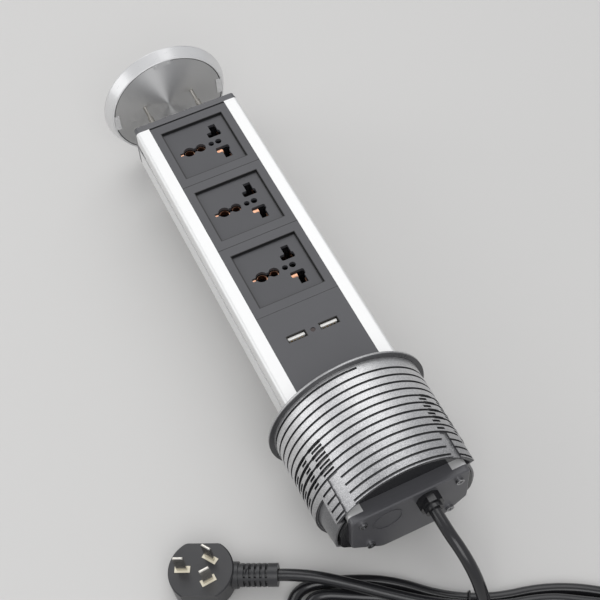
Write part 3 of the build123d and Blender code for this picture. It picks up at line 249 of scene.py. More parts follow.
# %% The cord itself
line = bpy.data.curves.new("mains_cord", "CURVE")
line.dimensions = "3D"
line.bevel_depth = CORD_RADIUS * MM
line.bevel_resolution = 6
line.use_fill_caps = True
spline = line.splines.new("NURBS")
spline.points.add(len(route) - 1)
for point, (x, y, z) in zip(spline.points, route):
    point.co = (x * MM, y * MM, z * MM, 1)
spline.order_u = 3
spline.use_endpoint_u = True
spline.resolution_u = 10
line.materials.append(soft_pvc)
mains_cord = bpy.data.objects.new("mains_cord", line)
bpy.context.collection.objects.link(mains_cord)
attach(mains_cord, "tower_body")
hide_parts("cord_lead", "cord_hank", "cord_tail")

# %% [markdown]
# ## The barrel
# The barrel is one moulding with fourteen grooves, vents, slots and two channels, and below them a wall
# that draws in round the tower's back. It could be cut out of a tube with booleans, which leave ragged
# faces where so many cuts meet. But all its edges lie on circles round the tower's axis, on planes across
# it or on planes through it. So it is built as a stack of wedge-shaped cells, like a round wall of bricks:
# bricks are left out for each groove, vent or channel, and only faces next to air are kept. Its radii,
# length and window are those of the plainer CAD solid that it stands for, while the grooves, vents and
# slots are up to half a millimetre wider, as they read in the photograph.


# %% A mesh as a piece
def finished(mesh, name, body, sharp):
    """A bmesh as an object on a body, smooth except at edges sharper than an angle in degrees."""
    data = bpy.data.meshes.new(name)
    mesh.to_mesh(data)
    mesh.free()
    for face in data.polygons:
        face.use_smooth = True
    data.set_sharp_from_angle(angle=math.radians(sharp))
    piece = bpy.data.objects.new(name, data)
    bpy.context.collection.objects.link(piece)
    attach(piece, body)
    print(name, "has faces:", len(data.polygons))
    return piece


# %% Cells round the tower's axis
# Faces that lie within this many degrees of each other are joined to one.
FLAT_WITHIN = 0.3


def open_faces(cell, solid, turn_count):
    """The corners round each face of a cell that has no solid cell beside it, and the side it is on."""
    for axis, side in itertools.product(range(3), (0, 1)):
        beside = list(cell)
        beside[axis] += 2 * side - 1
        beside[1] %= turn_count
        if tuple(beside) in solid:
            continue
        ring = []
        for second, third in ((0, 0), (1, 0), (1, 1), (0, 1)):
            spot = list(cell)
            spot[axis] += side
            spot[(axis + 1) % 3] += second
            spot[(axis + 2) % 3] += third
            ring.append((spot[0], spot[1] % turn_count, spot[2]))
        yield ring, side


def wedge_mesh(layers, turns, places, filled):
    """Cells between layers, which turn an angle and a place along Y to a radius, turns and places."""
    counts = (len(layers) - 1, len(turns), len(places) - 1)
    solid = set()
    for layer, turn, place in itertools.product(*map(range, counts)):
        after = turns[turn + 1] if turn + 1 < len(turns) else turns[0] + 360
        if filled(layer, (turns[turn] + after) / 2, (places[place] + places[place + 1]) / 2):
            solid.add((layer, turn, place))
    mesh = bmesh.new()
    corners = {}
    for cell in solid:
        for ring, side in open_faces(cell, solid, len(turns)):
            for spot in ring:
                if spot not in corners:
                    layer, turn, place = spot
                    radius = layers[layer](turns[turn], places[place]) * MM
                    angle = math.radians(turns[turn])
                    point = (radius * math.sin(angle), places[place] * MM, radius * math.cos(angle))
                    corners[spot] = mesh.verts.new(point)
            face = [corners[spot] for spot in ring]
            mesh.faces.new(face if side else face[::-1])
    flat = math.radians(FLAT_WITHIN)
    bmesh.ops.dissolve_limit(mesh, angle_limit=flat, verts=mesh.verts, edges=mesh.edges)
    return mesh


# %% Sizes of the barrel
# Radii from the axis: the bore, the floors of a channel and a groove, the ribs, the flange.
BORE, CHANNEL_FLOOR, GROOVE_FLOOR, SLEEVE, FLANGE = 47.5, 48.4, 48.7, 49.7, 53
# The side wall beside the window: its bore, and its outside, which narrows towards the lower end.
SIDE_BORE, SIDE_HIGH, SIDE_LOW = 44.3, 47.4, 45.6
# The room between the tower's back and the side wall, and the wall's thickness there.
BACK_ROOM, BACK_WALL = 5.6, 1.4
# Places along the axis, from the lower end up.
SLEEVE_END, SHELF_UNDER, SHELF_TOP, FLANGE_EDGE, FLANGE_TOP = -74.2, -56.7, -54.7, 1.7, 2.5
GROOVES, FIRST_GROOVE, GROOVE_PITCH = 14, 2.6, 5.39
HALF_GROOVE, HALF_VENT, HALF_SLOT = 0.75, 1.1, 0.8
# Rows of vents and slots, and the angles that each stretches over.
VENTS = ((5, 6, 7, 8), ((-54, -41), (-100, -59), (41, 54), (59, 100)))
SLOTS = (
    ((5, 6, 7, 8), ((-52, -41), (-66, -59), (-88, -77))),
    ((5, 6, 7, 8, 9), ((38, 46), (59, 66), (77, 88))),
)
# Each channel's two angles and its upper end.
CHANNELS = ((-51, -41, -51.4), (37, 45, -57.2))
# Angles: the front panel's sides, the corner beside it, the first and shorter groove, the flange's notch.
PANEL, CORNER_END, SHORT_GROOVE, NOTCH = 61.6, 63.6, (-100, 6), (-8.9, -7.1)
# The tower's six sides: the angle that each faces, and its distance from the axis.
TOWER_SIDES = ((0, 27.9), (90, 38), (-90, 38), (140.2, 27.87), (-140.2, 27.87), (180, 21.1))
TOWER_BACK = TOWER_SIDES[3:]
# A side is met from the axis only where it isn't seen almost edge on: the least cosine that counts.
LEAST_FACING = 0.05


def reach(angle, grow, sides):
    """How far out the tower's sides lie at an angle, when each is moved out by a growth."""
    distances = []
    for faced, distance in sides:
        share = math.cos(math.radians(angle - faced))
        if share > LEAST_FACING:
            distances.append((distance + grow) / share)
    return min(distances, default=math.inf)


def side_inner(angle, place):
    """The inside of the side wall, which follows the tower's slanted faces at the back."""
    return min(SIDE_BORE, reach(angle, BACK_ROOM, TOWER_BACK))


def side_outer(angle, place):
    """The outside of the side wall, a cone except where it follows the tower's back."""
    share = min(max((place - SLEEVE_END) / (SHELF_UNDER - SLEEVE_END), 0), 1)
    cone = SIDE_LOW + (SIDE_HIGH - SIDE_LOW) * share
    return min(cone, reach(angle, BACK_ROOM + BACK_WALL, TOWER_BACK))


def flange_edge(angle, place):
    """The rim of the flange, bevelled at its upper edge."""
    return FLANGE - max(0, place - FLANGE_EDGE)


def round_layer(radius):
    """A layer with the same radius all round."""
    return lambda angle, place: radius


print("the side wall's inside at the back, mm from the axis:", round(side_inner(180, SLEEVE_END), 1))


# %% Which cells of the barrel are plastic
def row_middle(row):
    """The place of a groove's middle; row 0 is the one under the flange."""
    return -FIRST_GROOVE - GROOVE_PITCH * row


def within(value, spans):
    """Whether a value lies in one of some spans."""
    return any(low < value < high for low, high in spans)


def sleeve_open(layer, angle, place):
    """Whether a groove, a channel, a vent or a slot opens the sleeve, whose layers are 2, 3 and 4."""
    if layer >= 3 and any(start < angle < end and place < top for start, end, top in CHANNELS):
        return True
    rows_down = (-place - FIRST_GROOVE) / GROOVE_PITCH
    row = round(rows_down)
    off = abs(place - row_middle(row))
    if layer == 4 and off < HALF_GROOVE and (row > 0 or within(angle, [SHORT_GROOVE])):
        return True
    vent_rows, columns = VENTS
    if row in vent_rows and off < HALF_VENT and within(angle, columns):
        return True
    rib = math.floor(rows_down)
    if abs(place - row_middle(rib) + GROOVE_PITCH / 2) >= HALF_SLOT:
        return False
    return any(rib in rows and within(angle, columns) for rows, columns in SLOTS)


def barrel_filled(layer, angle, place):
    """Whether a cell is plastic: layer 0 is the side wall, 2 to 4 are the sleeve and 5 is the flange."""
    angle = (angle + 180) % 360 - 180
    if place > 0:
        notched = layer == 5 and place > FLANGE_EDGE and within(angle, [NOTCH])
        return layer >= 2 and not notched
    if layer == 5:
        return False
    if place < SHELF_TOP and abs(angle) > PANEL:
        return layer == 0 or place > SHELF_UNDER or abs(angle) < CORNER_END
    return layer >= 2 and not sleeve_open(layer, angle, place)


# %% Build the barrel
FACET = 3
turns = set(range(-180, 180, FACET))
turns.update(itertools.chain(SHORT_GROOVE, NOTCH, *VENTS[1], *SLOTS[0][1], *SLOTS[1][1]))
turns.update(angle for start, end, _ in CHANNELS for angle in (start, end))
turns.update(side * angle for side in (-1, 1) for angle in (PANEL, CORNER_END))
places = {SLEEVE_END, SHELF_UNDER, SHELF_TOP, 0, FLANGE_EDGE, FLANGE_TOP, *(top for _, _, top in CHANNELS)}
for row in range(GROOVES):
    middle = row_middle(row)
    places.update((middle - HALF_GROOVE, middle + HALF_GROOVE))
    if row in VENTS[0]:
        places.update((middle - HALF_VENT, middle + HALF_VENT))
    if row in SLOTS[1][0]:
        middle -= GROOVE_PITCH / 2
        places.update((middle - HALF_SLOT, middle + HALF_SLOT))
sleeve_layers = [round_layer(radius) for radius in (BORE, CHANNEL_FLOOR, GROOVE_FLOOR, SLEEVE)]
layers = [side_inner, side_outer, *sleeve_layers, flange_edge]
barrel_mesh = wedge_mesh(layers, sorted(turns), sorted(places), barrel_filled)
ribbed_barrel = finished(barrel_mesh, "ribbed_barrel", "barrel_body", sharp=25)
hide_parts("barrel")

# %% [markdown]
# The lower guide ring sits inside that drawn-in wall, so it follows the same line round the back. A plain
# ring would stick out through the wall there. It is one layer of the same cells, from a little outside
# the tower, which slides through it, to just inside the wall.

# %% Lower guide ring
# The ring's two ends, its gap to the wall and the room that it leaves round the tower.
GUIDE_LOW, GUIDE_HIGH, GUIDE_FIT, TOWER_ROOM = -71.4, -65.4, 0.1, 0.4
# How far the ring's round front stops short of the front panel's sides, in degrees.
SHORT_OF_PANEL = 1


def guide_inner(angle, place):
    """The guide's inside: the tower's outline and the room round it."""
    return reach(angle, TOWER_ROOM, TOWER_SIDES)


def guide_outer(angle, place):
    """The guide's outside: the sleeve's bore at the front, the side wall's inside elsewhere."""
    at_front = abs((angle + 180) % 360 - 180) < PANEL - SHORT_OF_PANEL
    return (BORE if at_front else side_inner(angle, place)) - GUIDE_FIT


guide_layers = [guide_inner, guide_outer]
guide_mesh = wedge_mesh(guide_layers, sorted(turns), [GUIDE_LOW, GUIDE_HIGH], lambda *cell: True)
flat_guide = finished(guide_mesh, "flat_backed_guide", "barrel_body", sharp=25)
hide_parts("lower_guide_ring")

# %% [markdown]
# ## Springs behind the holes
# Through a socket's holes one sees the springs that grip the pins: two split rings for a round earth pin,
# a small tip behind the slot beside them, and a flared leaf in the lower pin's opening. They are stamped
# and bent from thin sheet. A flat picture behind the holes would look painted from the side, so they are
# real sheet here, and one function sweeps a bent line along a straight edge for all of them.


# %% Bent sheet
SHEET = 0.4


def bent_sheet(mesh, line, sweep):
    """A bent strip: a line of points in millimetres, swept along a straight edge."""
    line = [Vector(spot) for spot in line]
    sweep = Vector(sweep)
    rings = []
    for index, spot in enumerate(line):
        along = line[min(index + 1, len(line) - 1)] - line[max(index - 1, 0)]
        off = along.cross(sweep).normalized() * SHEET / 2
        ring = (spot - off, spot + off, spot + off + sweep, spot - off + sweep)
        rings.append([mesh.verts.new(corner * MM) for corner in ring])
    for first, second in itertools.pairwise(rings):
        for k in range(4):
            after = (k + 1) % 4
            mesh.faces.new((first[k], first[after], second[after], second[k]))
    mesh.faces.new(rings[0][::-1])
    mesh.faces.new(rings[-1])


# %% Springs of the three sockets
# The middle of the lowest module along the tower, and the distance from one module to the next.
MODULE_MIDDLE, MODULE_PITCH = 98.3, 59.5
SPRING_LOW, SPRING_HIGH = 19.3, 23.2
# Each split ring's place across and radius, and how far round it goes from its middle, in degrees.
SPLIT_RINGS, SPLIT_TO, SPLIT_STEP = ((-11, 3.3), (-2.5, 2.8)), 150, 15
# The profiles in Y and Z of the leaf and the tip, and the stretch across that each takes.
LEAF = ((-9.7, 19.3), (-9.7, 23.4), (-9.2, 24.2), (-8.2, 24.6), (-7.0, 24.6), (-6.0, 24.2))
LEAF_WIDTH = (6.3, 10.3)
TIP = ((-0.8, 19.3), (-0.8, 23.6), (-0.4, 24.3), (0.8, 24.5))
TIP_WIDTH = (-17.2, -15.2)
springs = bmesh.new()
for number in (2, 1, 0):
    middle = MODULE_MIDDLE + MODULE_PITCH * number
    for x, radius in SPLIT_RINGS:
        split = [math.radians(angle) for angle in range(-SPLIT_TO, SPLIT_TO + 1, SPLIT_STEP)]
        circle = [(x + radius * math.cos(a), middle + radius * math.sin(a), SPRING_LOW) for a in split]
        bent_sheet(springs, circle, (0, 0, SPRING_HIGH - SPRING_LOW))
    for profile, (start, end) in ((LEAF, LEAF_WIDTH), (TIP, TIP_WIDTH)):
        bent_sheet(springs, [(start, middle + y, z) for y, z in profile], (end - start, 0, 0))
bmesh.ops.recalc_face_normals(springs, faces=springs.faces)
finished(springs, "contact_springs", "tower_body", sharp=30)

# %% [markdown]
# ## The lid's bead
# The lid's rim is rolled over the disc, which leaves a fine bead round its underside. A curve with a
# bevel would do as well, but the ring's two circles are short to write, and give its points directly.

# %% Bead under the lid
# The bead's radius round the axis, its place along it, its own radius, and how many points go round each.
BEAD_RADIUS, BEAD_PLACE, BEAD_SIZE, BEAD_AROUND, BEAD_SECTION = 42.75, 290.2, 0.65, 180, 12
bead = bmesh.new()
loops = []
for step in range(BEAD_AROUND):
    angle = math.tau * step / BEAD_AROUND
    loop = []
    for part in range(BEAD_SECTION):
        tilt = math.tau * part / BEAD_SECTION
        radius = BEAD_RADIUS + BEAD_SIZE * math.cos(tilt)
        height = BEAD_PLACE + BEAD_SIZE * math.sin(tilt)
        corner = Vector((radius * math.sin(angle), height, radius * math.cos(angle)))
        loop.append(bead.verts.new(corner * MM))
    loops.append(loop)
for first, second in zip(loops, loops[1:] + loops[:1]):
    for k in range(BEAD_SECTION):
        after = (k + 1) % BEAD_SECTION
        bead.faces.new((first[k], first[after], second[after], second[k]))
bmesh.ops.recalc_face_normals(bead, faces=bead.faces)
finished(bead, "lid_bead", "tower_body", sharp=30)

# %% [markdown]
# ## Black mouldings
# Nearly everything black is moulded ABS. What differs is the steel mould: the barrel's was spark eroded,
# which leaves a coarse grain, the socket plates' has a fine matt grain, the cap's and the foot's gives a
# satin shine, and that of the parts inside is polished. The gland is nylon, which comes out of its mould
# glossy, and the plug is moulded PVC. A picture of a grain would repeat or stretch, so noise makes it. A
# real grain is about a tenth of a millimetre, too fine to show from here, and is drawn as coarse as it
# needs to be, 0.7 mm and more. A second, slow noise lets the gloss drift.

# %% Moulded plastic
# Real cavities are etched in patches, so the gloss drifts over about this many millimetres.
GLOSS_PATCH = 24
PLASTIC_IOR = 1.53


def moulded_abs(name, color, grain, depth, roughness, spread):
    """Moulded plastic: the grain's size and depth are in millimetres, spread is how much the gloss varies."""
    material, tree, shader = new_material(name, color, roughness)
    where = add(tree, "TexCoord").outputs["Object"]
    pits = add(tree, "TexNoise", {"Vector": where, "Scale": 1 / (grain * MM), "Detail": 2})
    patches = add(tree, "TexNoise", {"Vector": where, "Scale": 1 / (GLOSS_PATCH * MM), "Detail": 4})
    gloss = add(tree, "MapRange", {
        "Value": patches.outputs["Fac"], "To Min": roughness - spread, "To Max": roughness + spread,
    })
    bump = add(tree, "Bump", {"Height": pits.outputs["Fac"], "Strength": 0.6, "Distance": depth * MM})
    feed(tree, shader, {
        "IOR": PLASTIC_IOR, "Roughness": gloss.outputs["Result"], "Normal": bump.outputs["Normal"],
    })
    return material


matt_grain = moulded_abs("fine matt black ABS", "47474a", 0.7, 0.04, 0.5, 0.05)
polished_abs = moulded_abs("polished black ABS", "1e1e20", 1.6, 0.02, 0.24, 0.05)
satin_abs = moulded_abs("satin black ABS end plate", "4a4a4d", 0.8, 0.03, 0.34, 0.05)
gloss_nylon = moulded_abs("glossy black nylon", "18181a", 1.6, 0.01, 0.14, 0.03)
moulded_pvc = moulded_abs("moulded black PVC plug", "262628", 1.2, 0.06, 0.34, 0.05)
print("materials so far:", len(bpy.data.materials))

# %% [markdown]
# The barrel carries more than its grain. A silver lacquer lies on its ribs and channels, and more weakly on
# its lower wall, and stays off the flange, the grooves and the inside. The lacquer stops just under each
# crest, so the groove walls stay black: partly bare plastic, partly painted shade for the shade in the
# grooves. The lower wall's weakened coat and the darker flecks towards the lower end are painted shade for
# the barrel's shadow there, and the pale coat on the flange's edge is a painted highlight. Each could be a
# piece with a material of its own, but a lacquer follows no piece. So a mask says where it lies, from the
# distance to the axis and the place along it, and one material mixes the two.


# %% Masks
def mask(tree, *pairs):
    """One where the first of every pair is less than the second, and nought elsewhere."""
    share = 1
    for low, high in pairs:
        test = add(tree, "Math", {0: low, 1: high}, operation="LESS_THAN").outputs["Value"]
        share = add(tree, "Math", {0: share, 1: test}, operation="MULTIPLY").outputs["Value"]
    return share


def off_axis(tree, where):
    """How far a point lies from the tower's axis."""
    flat = add(tree, "VectorMath", {0: where, 1: (1, 0, 1)}, operation="MULTIPLY").outputs["Vector"]
    return add(tree, "VectorMath", {0: flat}, operation="LENGTH").outputs["Value"]


# %% Lacquered barrel
# The lacquer reaches this far down from a rib's crest, which keeps the groove walls black, partly as painted
# shade, and lies this near to a channel's floor. It starts this far below the flange, and on the side wall
# this far below the shelf.
UNDER_CREST, BY_FLOOR, UNDER_FLANGE, UNDER_SHELF = 0.12, 0.08, 0.05, 0.1
# The flange edge's painted highlight: its least radius and place. Then shares of a full coat there and on
# the lower wall, whose share is cut down as painted shade.
EDGE_RADIUS, EDGE_PLACE, EDGE_HIGHLIGHT_COAT, SHADED_WALL_COAT = 52, 0.7, 0.6, 0.4
# The lacquer is flecked. The flecks are drawn 0.7 mm wide, since real ones are too fine to show, and are
# painted darker from the given place down to the barrel's lower end, as painted shade.
FLECK, LOW_SHADE_FROM, LOW_SHADE_DEPTH = 0.7, -30, 0.35
# The lacquer's least and greatest roughness, and the share of it that the bare plastic has.
LACQUER_ROUGH, BARE_SHARE = (0.42, 0.52), 0.6


def lacquered_barrel():
    """Spark eroded black ABS, with silver lacquer on the ribs, the channels and the drawn-in wall."""
    material, tree, shader = new_material("silver lacquer over black ABS", "9c9c9e", 0.5, 1.0)
    where = add(tree, "TexCoord").outputs["Object"]
    parts = add(tree, "SeparateXYZ", {"Vector": where}).outputs
    across, along, out = parts["X"], parts["Y"], parts["Z"]
    radius = off_axis(tree, where)
    width = add(tree, "Math", {0: across}, operation="ABSOLUTE").outputs["Value"]
    slope = 1 / math.tan(math.radians(PANEL + 1))
    beside_panel = add(tree, "Math", {0: width, 1: slope}, operation="MULTIPLY").outputs["Value"]
    below_flange = (along, -UNDER_FLANGE * MM)
    channel_low, channel_high = (CHANNEL_FLOOR - BY_FLOOR) * MM, (CHANNEL_FLOOR + BY_FLOOR) * MM
    # Each coat's share of a full one and its mask: on the ribs, the channels, the side wall, cut as painted
    # shade, and the edge, a painted highlight.
    coats = (
        (1, ((SLEEVE - UNDER_CREST) * MM, radius), below_flange),
        (1, (channel_low, radius), (radius, channel_high), below_flange),
        (SHADED_WALL_COAT, (out, beside_panel), (along, (SHELF_UNDER - UNDER_SHELF) * MM)),
        (EDGE_HIGHLIGHT_COAT, (EDGE_RADIUS * MM, radius), (EDGE_PLACE * MM, along)),
    )
    silver = 0
    for share, *pairs in coats:
        coat = add(tree, "Math", {0: mask(tree, *pairs), 1: share}, operation="MULTIPLY").outputs["Value"]
        silver = add(tree, "Math", {0: silver, 1: coat}, operation="MAXIMUM").outputs["Value"]
    pits = add(tree, "TexNoise", {"Vector": where, "Scale": 1 / (FLECK * MM), "Detail": 2}).outputs["Fac"]
    # Painted shade: the flecks darken towards the barrel's lower end.
    low_shade = add(tree, "MapRange", {
        "Value": along, "From Min": SLEEVE_END * MM, "From Max": LOW_SHADE_FROM * MM, "To Min": 0, "To Max": LOW_SHADE_DEPTH,
    }).outputs["Result"]
    speck = add(tree, "Math", {0: pits, 1: low_shade}, operation="ADD").outputs["Value"]
    flecks = add(tree, "MapRange", {"Value": speck, "From Min": 0.3, "From Max": 1.05}).outputs["Result"]
    flecked = {"Factor": flecks, "A": linear("8c8c8e"), "B": linear("dcdcdc")}
    lacquer = add(tree, "Mix", flecked, data_type="RGBA").outputs["Result"]
    mixed = {"Factor": silver, "A": linear("39393b"), "B": lacquer}
    tint = add(tree, "Mix", mixed, data_type="RGBA").outputs["Result"]
    patches = add(tree, "TexNoise", {"Vector": where, "Scale": 1 / (GLOSS_PATCH * MM), "Detail": 4})
    low, high = LACQUER_ROUGH
    gloss = add(tree, "MapRange", {"Value": patches.outputs["Fac"], "To Min": low, "To Max": high})
    added = add(tree, "Math", {0: silver, 1: 1 - BARE_SHARE}, operation="MULTIPLY").outputs["Value"]
    full = add(tree, "Math", {0: added, 1: BARE_SHARE}, operation="ADD").outputs["Value"]
    rough = add(tree, "Math", {0: gloss.outputs["Result"], 1: full}, operation="MULTIPLY")
    bump = add(tree, "Bump", {"Height": pits, "Strength": 0.8, "Distance": 0.1 * MM})
    feed(tree, shader, {
        "Base Color": tint, "Metallic": silver, "Roughness": rough.outputs["Value"],
        "Normal": bump.outputs["Normal"],
    })
    return material


lacquered = lacquered_barrel()
print("nodes in the barrel's material:", len(lacquered.node_tree.nodes))

# %% [markdown]
# Each socket plate has a dark seam round its 45 mm recess, and the modules meet at fine joints. A step in
# the mesh would show it best, but the plates are CAD nodes, whose meshes stay as they are. The eye sees
# such a seam as a dark line, because shadow fills it, so a mask paints that line.

# %% Plates with a dark seam
HALF_PITCH, HALF_JOINT = MODULE_PITCH / 2, 0.25
# How far from a module's middle the seam starts and ends.
SEAM_START, SEAM_END = 21.6, 22.95


def seamed_plate(name, color, grain, depth, roughness, spread):
    """Moulded ABS, darker in the seam that runs round each recess and at the joints between modules."""
    material = moulded_abs(name, color, grain, depth, roughness, spread)
    tree = material.node_tree
    where = add(tree, "TexCoord").outputs["Object"]
    parts = add(tree, "SeparateXYZ", {"Vector": where}).outputs
    width = add(tree, "Math", {0: parts["X"]}, operation="ABSOLUTE").outputs["Value"]
    past = add(tree, "Math", {0: parts["Y"], 1: MODULE_MIDDLE * MM}, operation="SUBTRACT").outputs["Value"]
    one_module = {0: past, 1: HALF_PITCH * MM, 2: -HALF_PITCH * MM}
    wrapped = add(tree, "Math", one_module, operation="WRAP").outputs["Value"]
    height = add(tree, "Math", {0: wrapped}, operation="ABSOLUTE").outputs["Value"]
    square = add(tree, "Math", {0: width, 1: height}, operation="MAXIMUM").outputs["Value"]
    seam = mask(tree, (SEAM_START * MM, square), (square, SEAM_END * MM))
    joint = mask(tree, ((HALF_PITCH - HALF_JOINT) * MM, height))
    dark = add(tree, "Math", {0: seam, 1: joint}, operation="MAXIMUM").outputs["Value"]
    mixed = {"Factor": dark, "A": linear(color), "B": linear("1a1a1b")}
    tint = add(tree, "Mix", mixed, data_type="RGBA").outputs["Result"]
    feed(tree, tree.nodes["Principled BSDF"], {"Base Color": tint})
    return material


frame_grain = seamed_plate("fine matt black ABS frame", "47474a", 0.7, 0.04, 0.5, 0.05)
plate_grain = seamed_plate("matt grey black ABS face", "424245", 0.7, 0.03, 0.52, 0.04)
print("nodes in a plate's material:", len(plate_grain.node_tree.nodes))

# %% [markdown]
# ## Aluminium
# The tower is an extrusion that was brushed and anodised: fine scratches run along it and blur every
# reflection sideways. Noise that is stretched along one axis draws them. Real ones are some hundredths of
# a millimetre wide, and are drawn a quarter wide so that they show. The anodised film is a clear and
# slightly milky oxide, and a pure metal would mirror the dark parts of the room too strongly, so the
# extrusion and the lid's rim are only partly metallic.

# %% Brushed aluminium
METALLIC_LOOK = 0.6
BRUSHED_SPREAD = 0.06


def brushed_aluminium(name, color, roughness, stretch, scratch):
    """Anodised aluminium with scratches: stretch gives their sizes along X, Y and Z in millimetres."""
    material, tree, shader = new_material(name, color, roughness, METALLIC_LOOK)
    where = add(tree, "TexCoord").outputs["Object"]
    scaled = add(tree, "Mapping", {"Vector": where, "Scale": [1 / (size * MM) for size in stretch]})
    scratches = {"Vector": scaled.outputs["Vector"], "Scale": 1, "Detail": 3}
    lines = add(tree, "TexNoise", scratches).outputs["Fac"]
    rough = add(tree, "MapRange", {
        "Value": lines, "To Min": roughness - BRUSHED_SPREAD, "To Max": roughness + BRUSHED_SPREAD,
    })
    bump = add(tree, "Bump", {"Height": lines, "Strength": scratch, "Distance": 0.01 * MM})
    feed(tree, shader, {"Roughness": rough.outputs["Result"], "Normal": bump.outputs["Normal"]})
    return material


anodised = brushed_aluminium("brushed anodised aluminium", "e0e0df", 0.5, (0.25, 30, 0.25), 0.5)
rim_metal = brushed_aluminium("satin turned aluminium rim", "d6d6d6", 0.3, (9, 0.3, 9), 0.4)
print("share of metal in the anodised look:", METALLIC_LOOK)

# %% [markdown]
# The lid was spun on a lathe, so its scratches are circles round the middle, and the light gathers in
# two bright fans. A painted fan would stay put when the lid or the eye moves. The shader's anisotropy
# makes a true one, once a tangent runs round the axis. The rings are about 0.2 mm apart on a real lid and
# are drawn 0.9 mm apart to show. A mask paints a dark line just inside the rolled bead, as painted shade
# for the shade in the gap there.

# %% Spun aluminium
RING_PITCH, SPUN_ROUGH = 0.9, (0.56, 0.66)
# The painted shade line's two radii, and the place along the tower that it stays below.
BEAD_GAP_SHADE, LID_FACE = (41.5, 42.2), 290.3


def spun_aluminium(color):
    """A spun disc: circular scratches, a highlight fanning out from the middle, painted shade by the bead."""
    material, tree, shader = new_material("spun aluminium", color, 0.6, 1.0)
    where = add(tree, "TexCoord").outputs["Object"]
    radius = off_axis(tree, where)
    spacing = {"W": radius, "Scale": 1 / (RING_PITCH * MM), "Detail": 4}
    rings = add(tree, "TexNoise", spacing, noise_dimensions="1D").outputs["Fac"]
    low, high = SPUN_ROUGH
    rough = add(tree, "MapRange", {"Value": rings, "To Min": low, "To Max": high})
    bump = add(tree, "Bump", {"Height": rings, "Strength": 0.25, "Distance": 0.02 * MM})
    around = add(tree, "Tangent", direction_type="RADIAL", axis="Y")
    along = add(tree, "SeparateXYZ", {"Vector": where}).outputs["Y"]
    # A line of painted shade in the gap just inside the bead.
    low, high = BEAD_GAP_SHADE
    line = mask(tree, (low * MM, radius), (radius, high * MM), (along, LID_FACE * MM))
    mixed = {"Factor": line, "A": linear(color), "B": linear("505052")}
    tint = add(tree, "Mix", mixed, data_type="RGBA")
    feed(tree, shader, {
        "Base Color": tint.outputs["Result"], "Roughness": rough.outputs["Result"], "Anisotropic": 0.9,
        "Anisotropic Rotation": 0.25, "Tangent": around.outputs["Tangent"], "Normal": bump.outputs["Normal"],
    })
    return material


spun = spun_aluminium("dedede")
print("nodes in the lid's material:", len(spun.node_tree.nodes))

# %% [markdown]
# ## Small metals and plastics
# The contacts are copper alloy, the shells and blades are nickel plated, the tongues in the outlets are
# white plastic and the lamp's lens is a dark red one. The shells are coloured dark, as painted shade for
# the shade inside the outlets. At this size a flat colour would almost do, but up close it looks like
# paint. So each drifts between two near colours over a few millimetres, as plating and moulding do, with a
# slight unevenness to match.


# %% Small finishes
def small_finish(name, color, second, roughness, metallic, grain):
    """A finish whose colour drifts between two hex values over a grain given in millimetres."""
    material, tree, shader = new_material(name, color, roughness, metallic)
    where = add(tree, "TexCoord").outputs["Object"]
    drift = add(tree, "TexNoise", {"Vector": where, "Scale": 1 / (grain * MM), "Detail": 3}).outputs["Fac"]
    mixed = add(tree, "Mix", {"Factor": drift, "A": linear(color), "B": linear(second)}, data_type="RGBA")
    bump = add(tree, "Bump", {"Height": drift, "Strength": 0.2, "Distance": 0.03 * MM})
    feed(tree, shader, {"Base Color": mixed.outputs["Result"], "Normal": bump.outputs["Normal"]})
    return material


copper = small_finish("bare copper alloy", "dfb196", "bd8667", 0.32, 1.0, 2)
nickel = small_finish("nickel plate", "d8d5cf", "c4c0b8", 0.22, 1.0, 4)
zinc_screw = small_finish("zinc plated screws", "b4b4b6", "8c8c8e", 0.25, 1.0, 2)
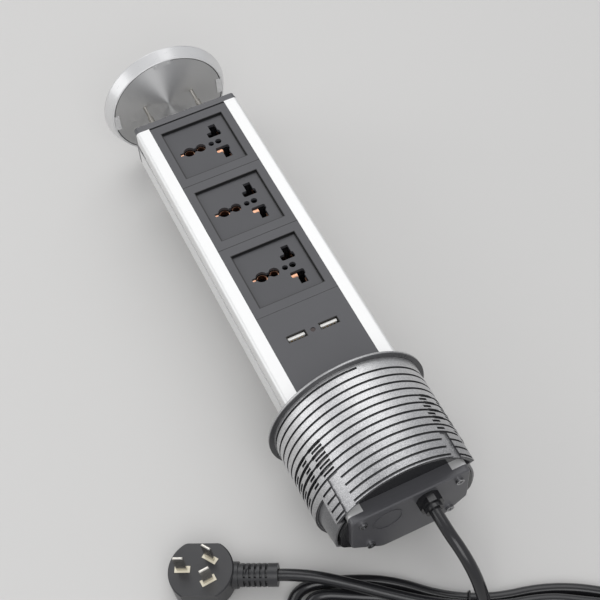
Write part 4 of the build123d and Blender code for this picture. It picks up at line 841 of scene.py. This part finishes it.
# The USB shells: nickel, coloured dark as painted shade for the shade inside the outlets.
shade_dark_nickel = small_finish("nickel darkened as painted shade", "3c3a38", "2c2b2a", 0.35, 1.0, 2)
gold = small_finish("gold plate", "d9b468", "c79c4e", 0.25, 1.0, 1)
white_nylon = small_finish("white nylon", "f2f1ee", "e8e6e1", 0.4, 0.0, 2)
cream_nylon = small_finish("cream nylon", "ded8c6", "cfc7b0", 0.45, 0.0, 3)
red_lens = small_finish("dark red lens", "1a0807", "2a0d0c", 0.3, 0.0, 1)
tab_metal = small_finish("satin silver tabs", "e2e2e2", "d4d4d4", 0.36, 0.3, 3)
green_board = small_finish("green circuit board", "1f4a31", "2b5c3e", 0.35, 0.0, 3)
friction_felt = small_finish("grey friction felt", "54524f", "45433f", 0.9, 0.0, 1)
wire_sheath = small_finish("coloured wire sheath", "6b4a2b", "4e3721", 0.4, 0.0, 5)
print("materials so far:", len(bpy.data.materials))

# %% [markdown]
# ## Which piece has which finish
# The CAD nodes keep their shapes and only get their finish here. One table pairs each finish with its
# pieces, which shows at a glance what is made of what, and a line at the end tells which were left out.

# %% Dress the nodes
DRESS = (
    (lacquered, ("barrel", "ribbed_barrel")),
    (matt_grain, ("usb_panel",)),
    (frame_grain, ("socket_frame_1", "socket_frame_2", "socket_frame_3")),
    (plate_grain, ("socket_face_1", "socket_face_2", "socket_face_3")),
    (polished_abs, (
        "upper_guide_ring", "lower_guide_ring", "flat_backed_guide", "foot_collar",
        "socket_housing_1", "socket_housing_2", "socket_housing_3",
    )),
    (satin_abs, ("top_cap", "end_cap")),
    (gloss_nylon, ("cord_gland",)),
    (anodised, ("tower_extrusion",)),
    (spun, ("lid_base", "lid_top")),
    (rim_metal, ("lid_rim",)),
    (tab_metal, ("lid_tabs", "lid_bead")),
    (nickel, ("lid_posts", "post_sleeves", "plug_blades")),
    # The USB shells get a dark colour, painted shade for the outlets' inside.
    (shade_dark_nickel, ("usb_shell_1", "usb_shell_2")),
    (zinc_screw, ("end_cap_screws",)),
    (copper, ("live_contacts", "neutral_contacts", "earth_contacts", "contact_springs")),
    (gold, ("usb_contacts",)),
    (white_nylon, ("usb_tongue_1", "usb_tongue_2")),
    (cream_nylon, ("blade_collars", "terminal_block")),
    (red_lens, ("led_lens",)),
    (green_board, ("usb_board",)),
    (friction_felt, ("friction_pads",)),
    (wire_sheath, ("live_wire", "neutral_wire", "earth_wire", "cord_cores")),
    (moulded_pvc, ("plug_body", "plug_relief")),
    (soft_pvc, ("cord_tie",)),
)
dressed = set()
for finish, names in DRESS:
    for name in names:
        slots = (nodes[name] if name in nodes else bpy.data.objects[name]).data.materials
        slots.clear()
        slots.append(finish)
        dressed.add(name)
print("nodes without a finish:", sorted(set(nodes) - dressed))
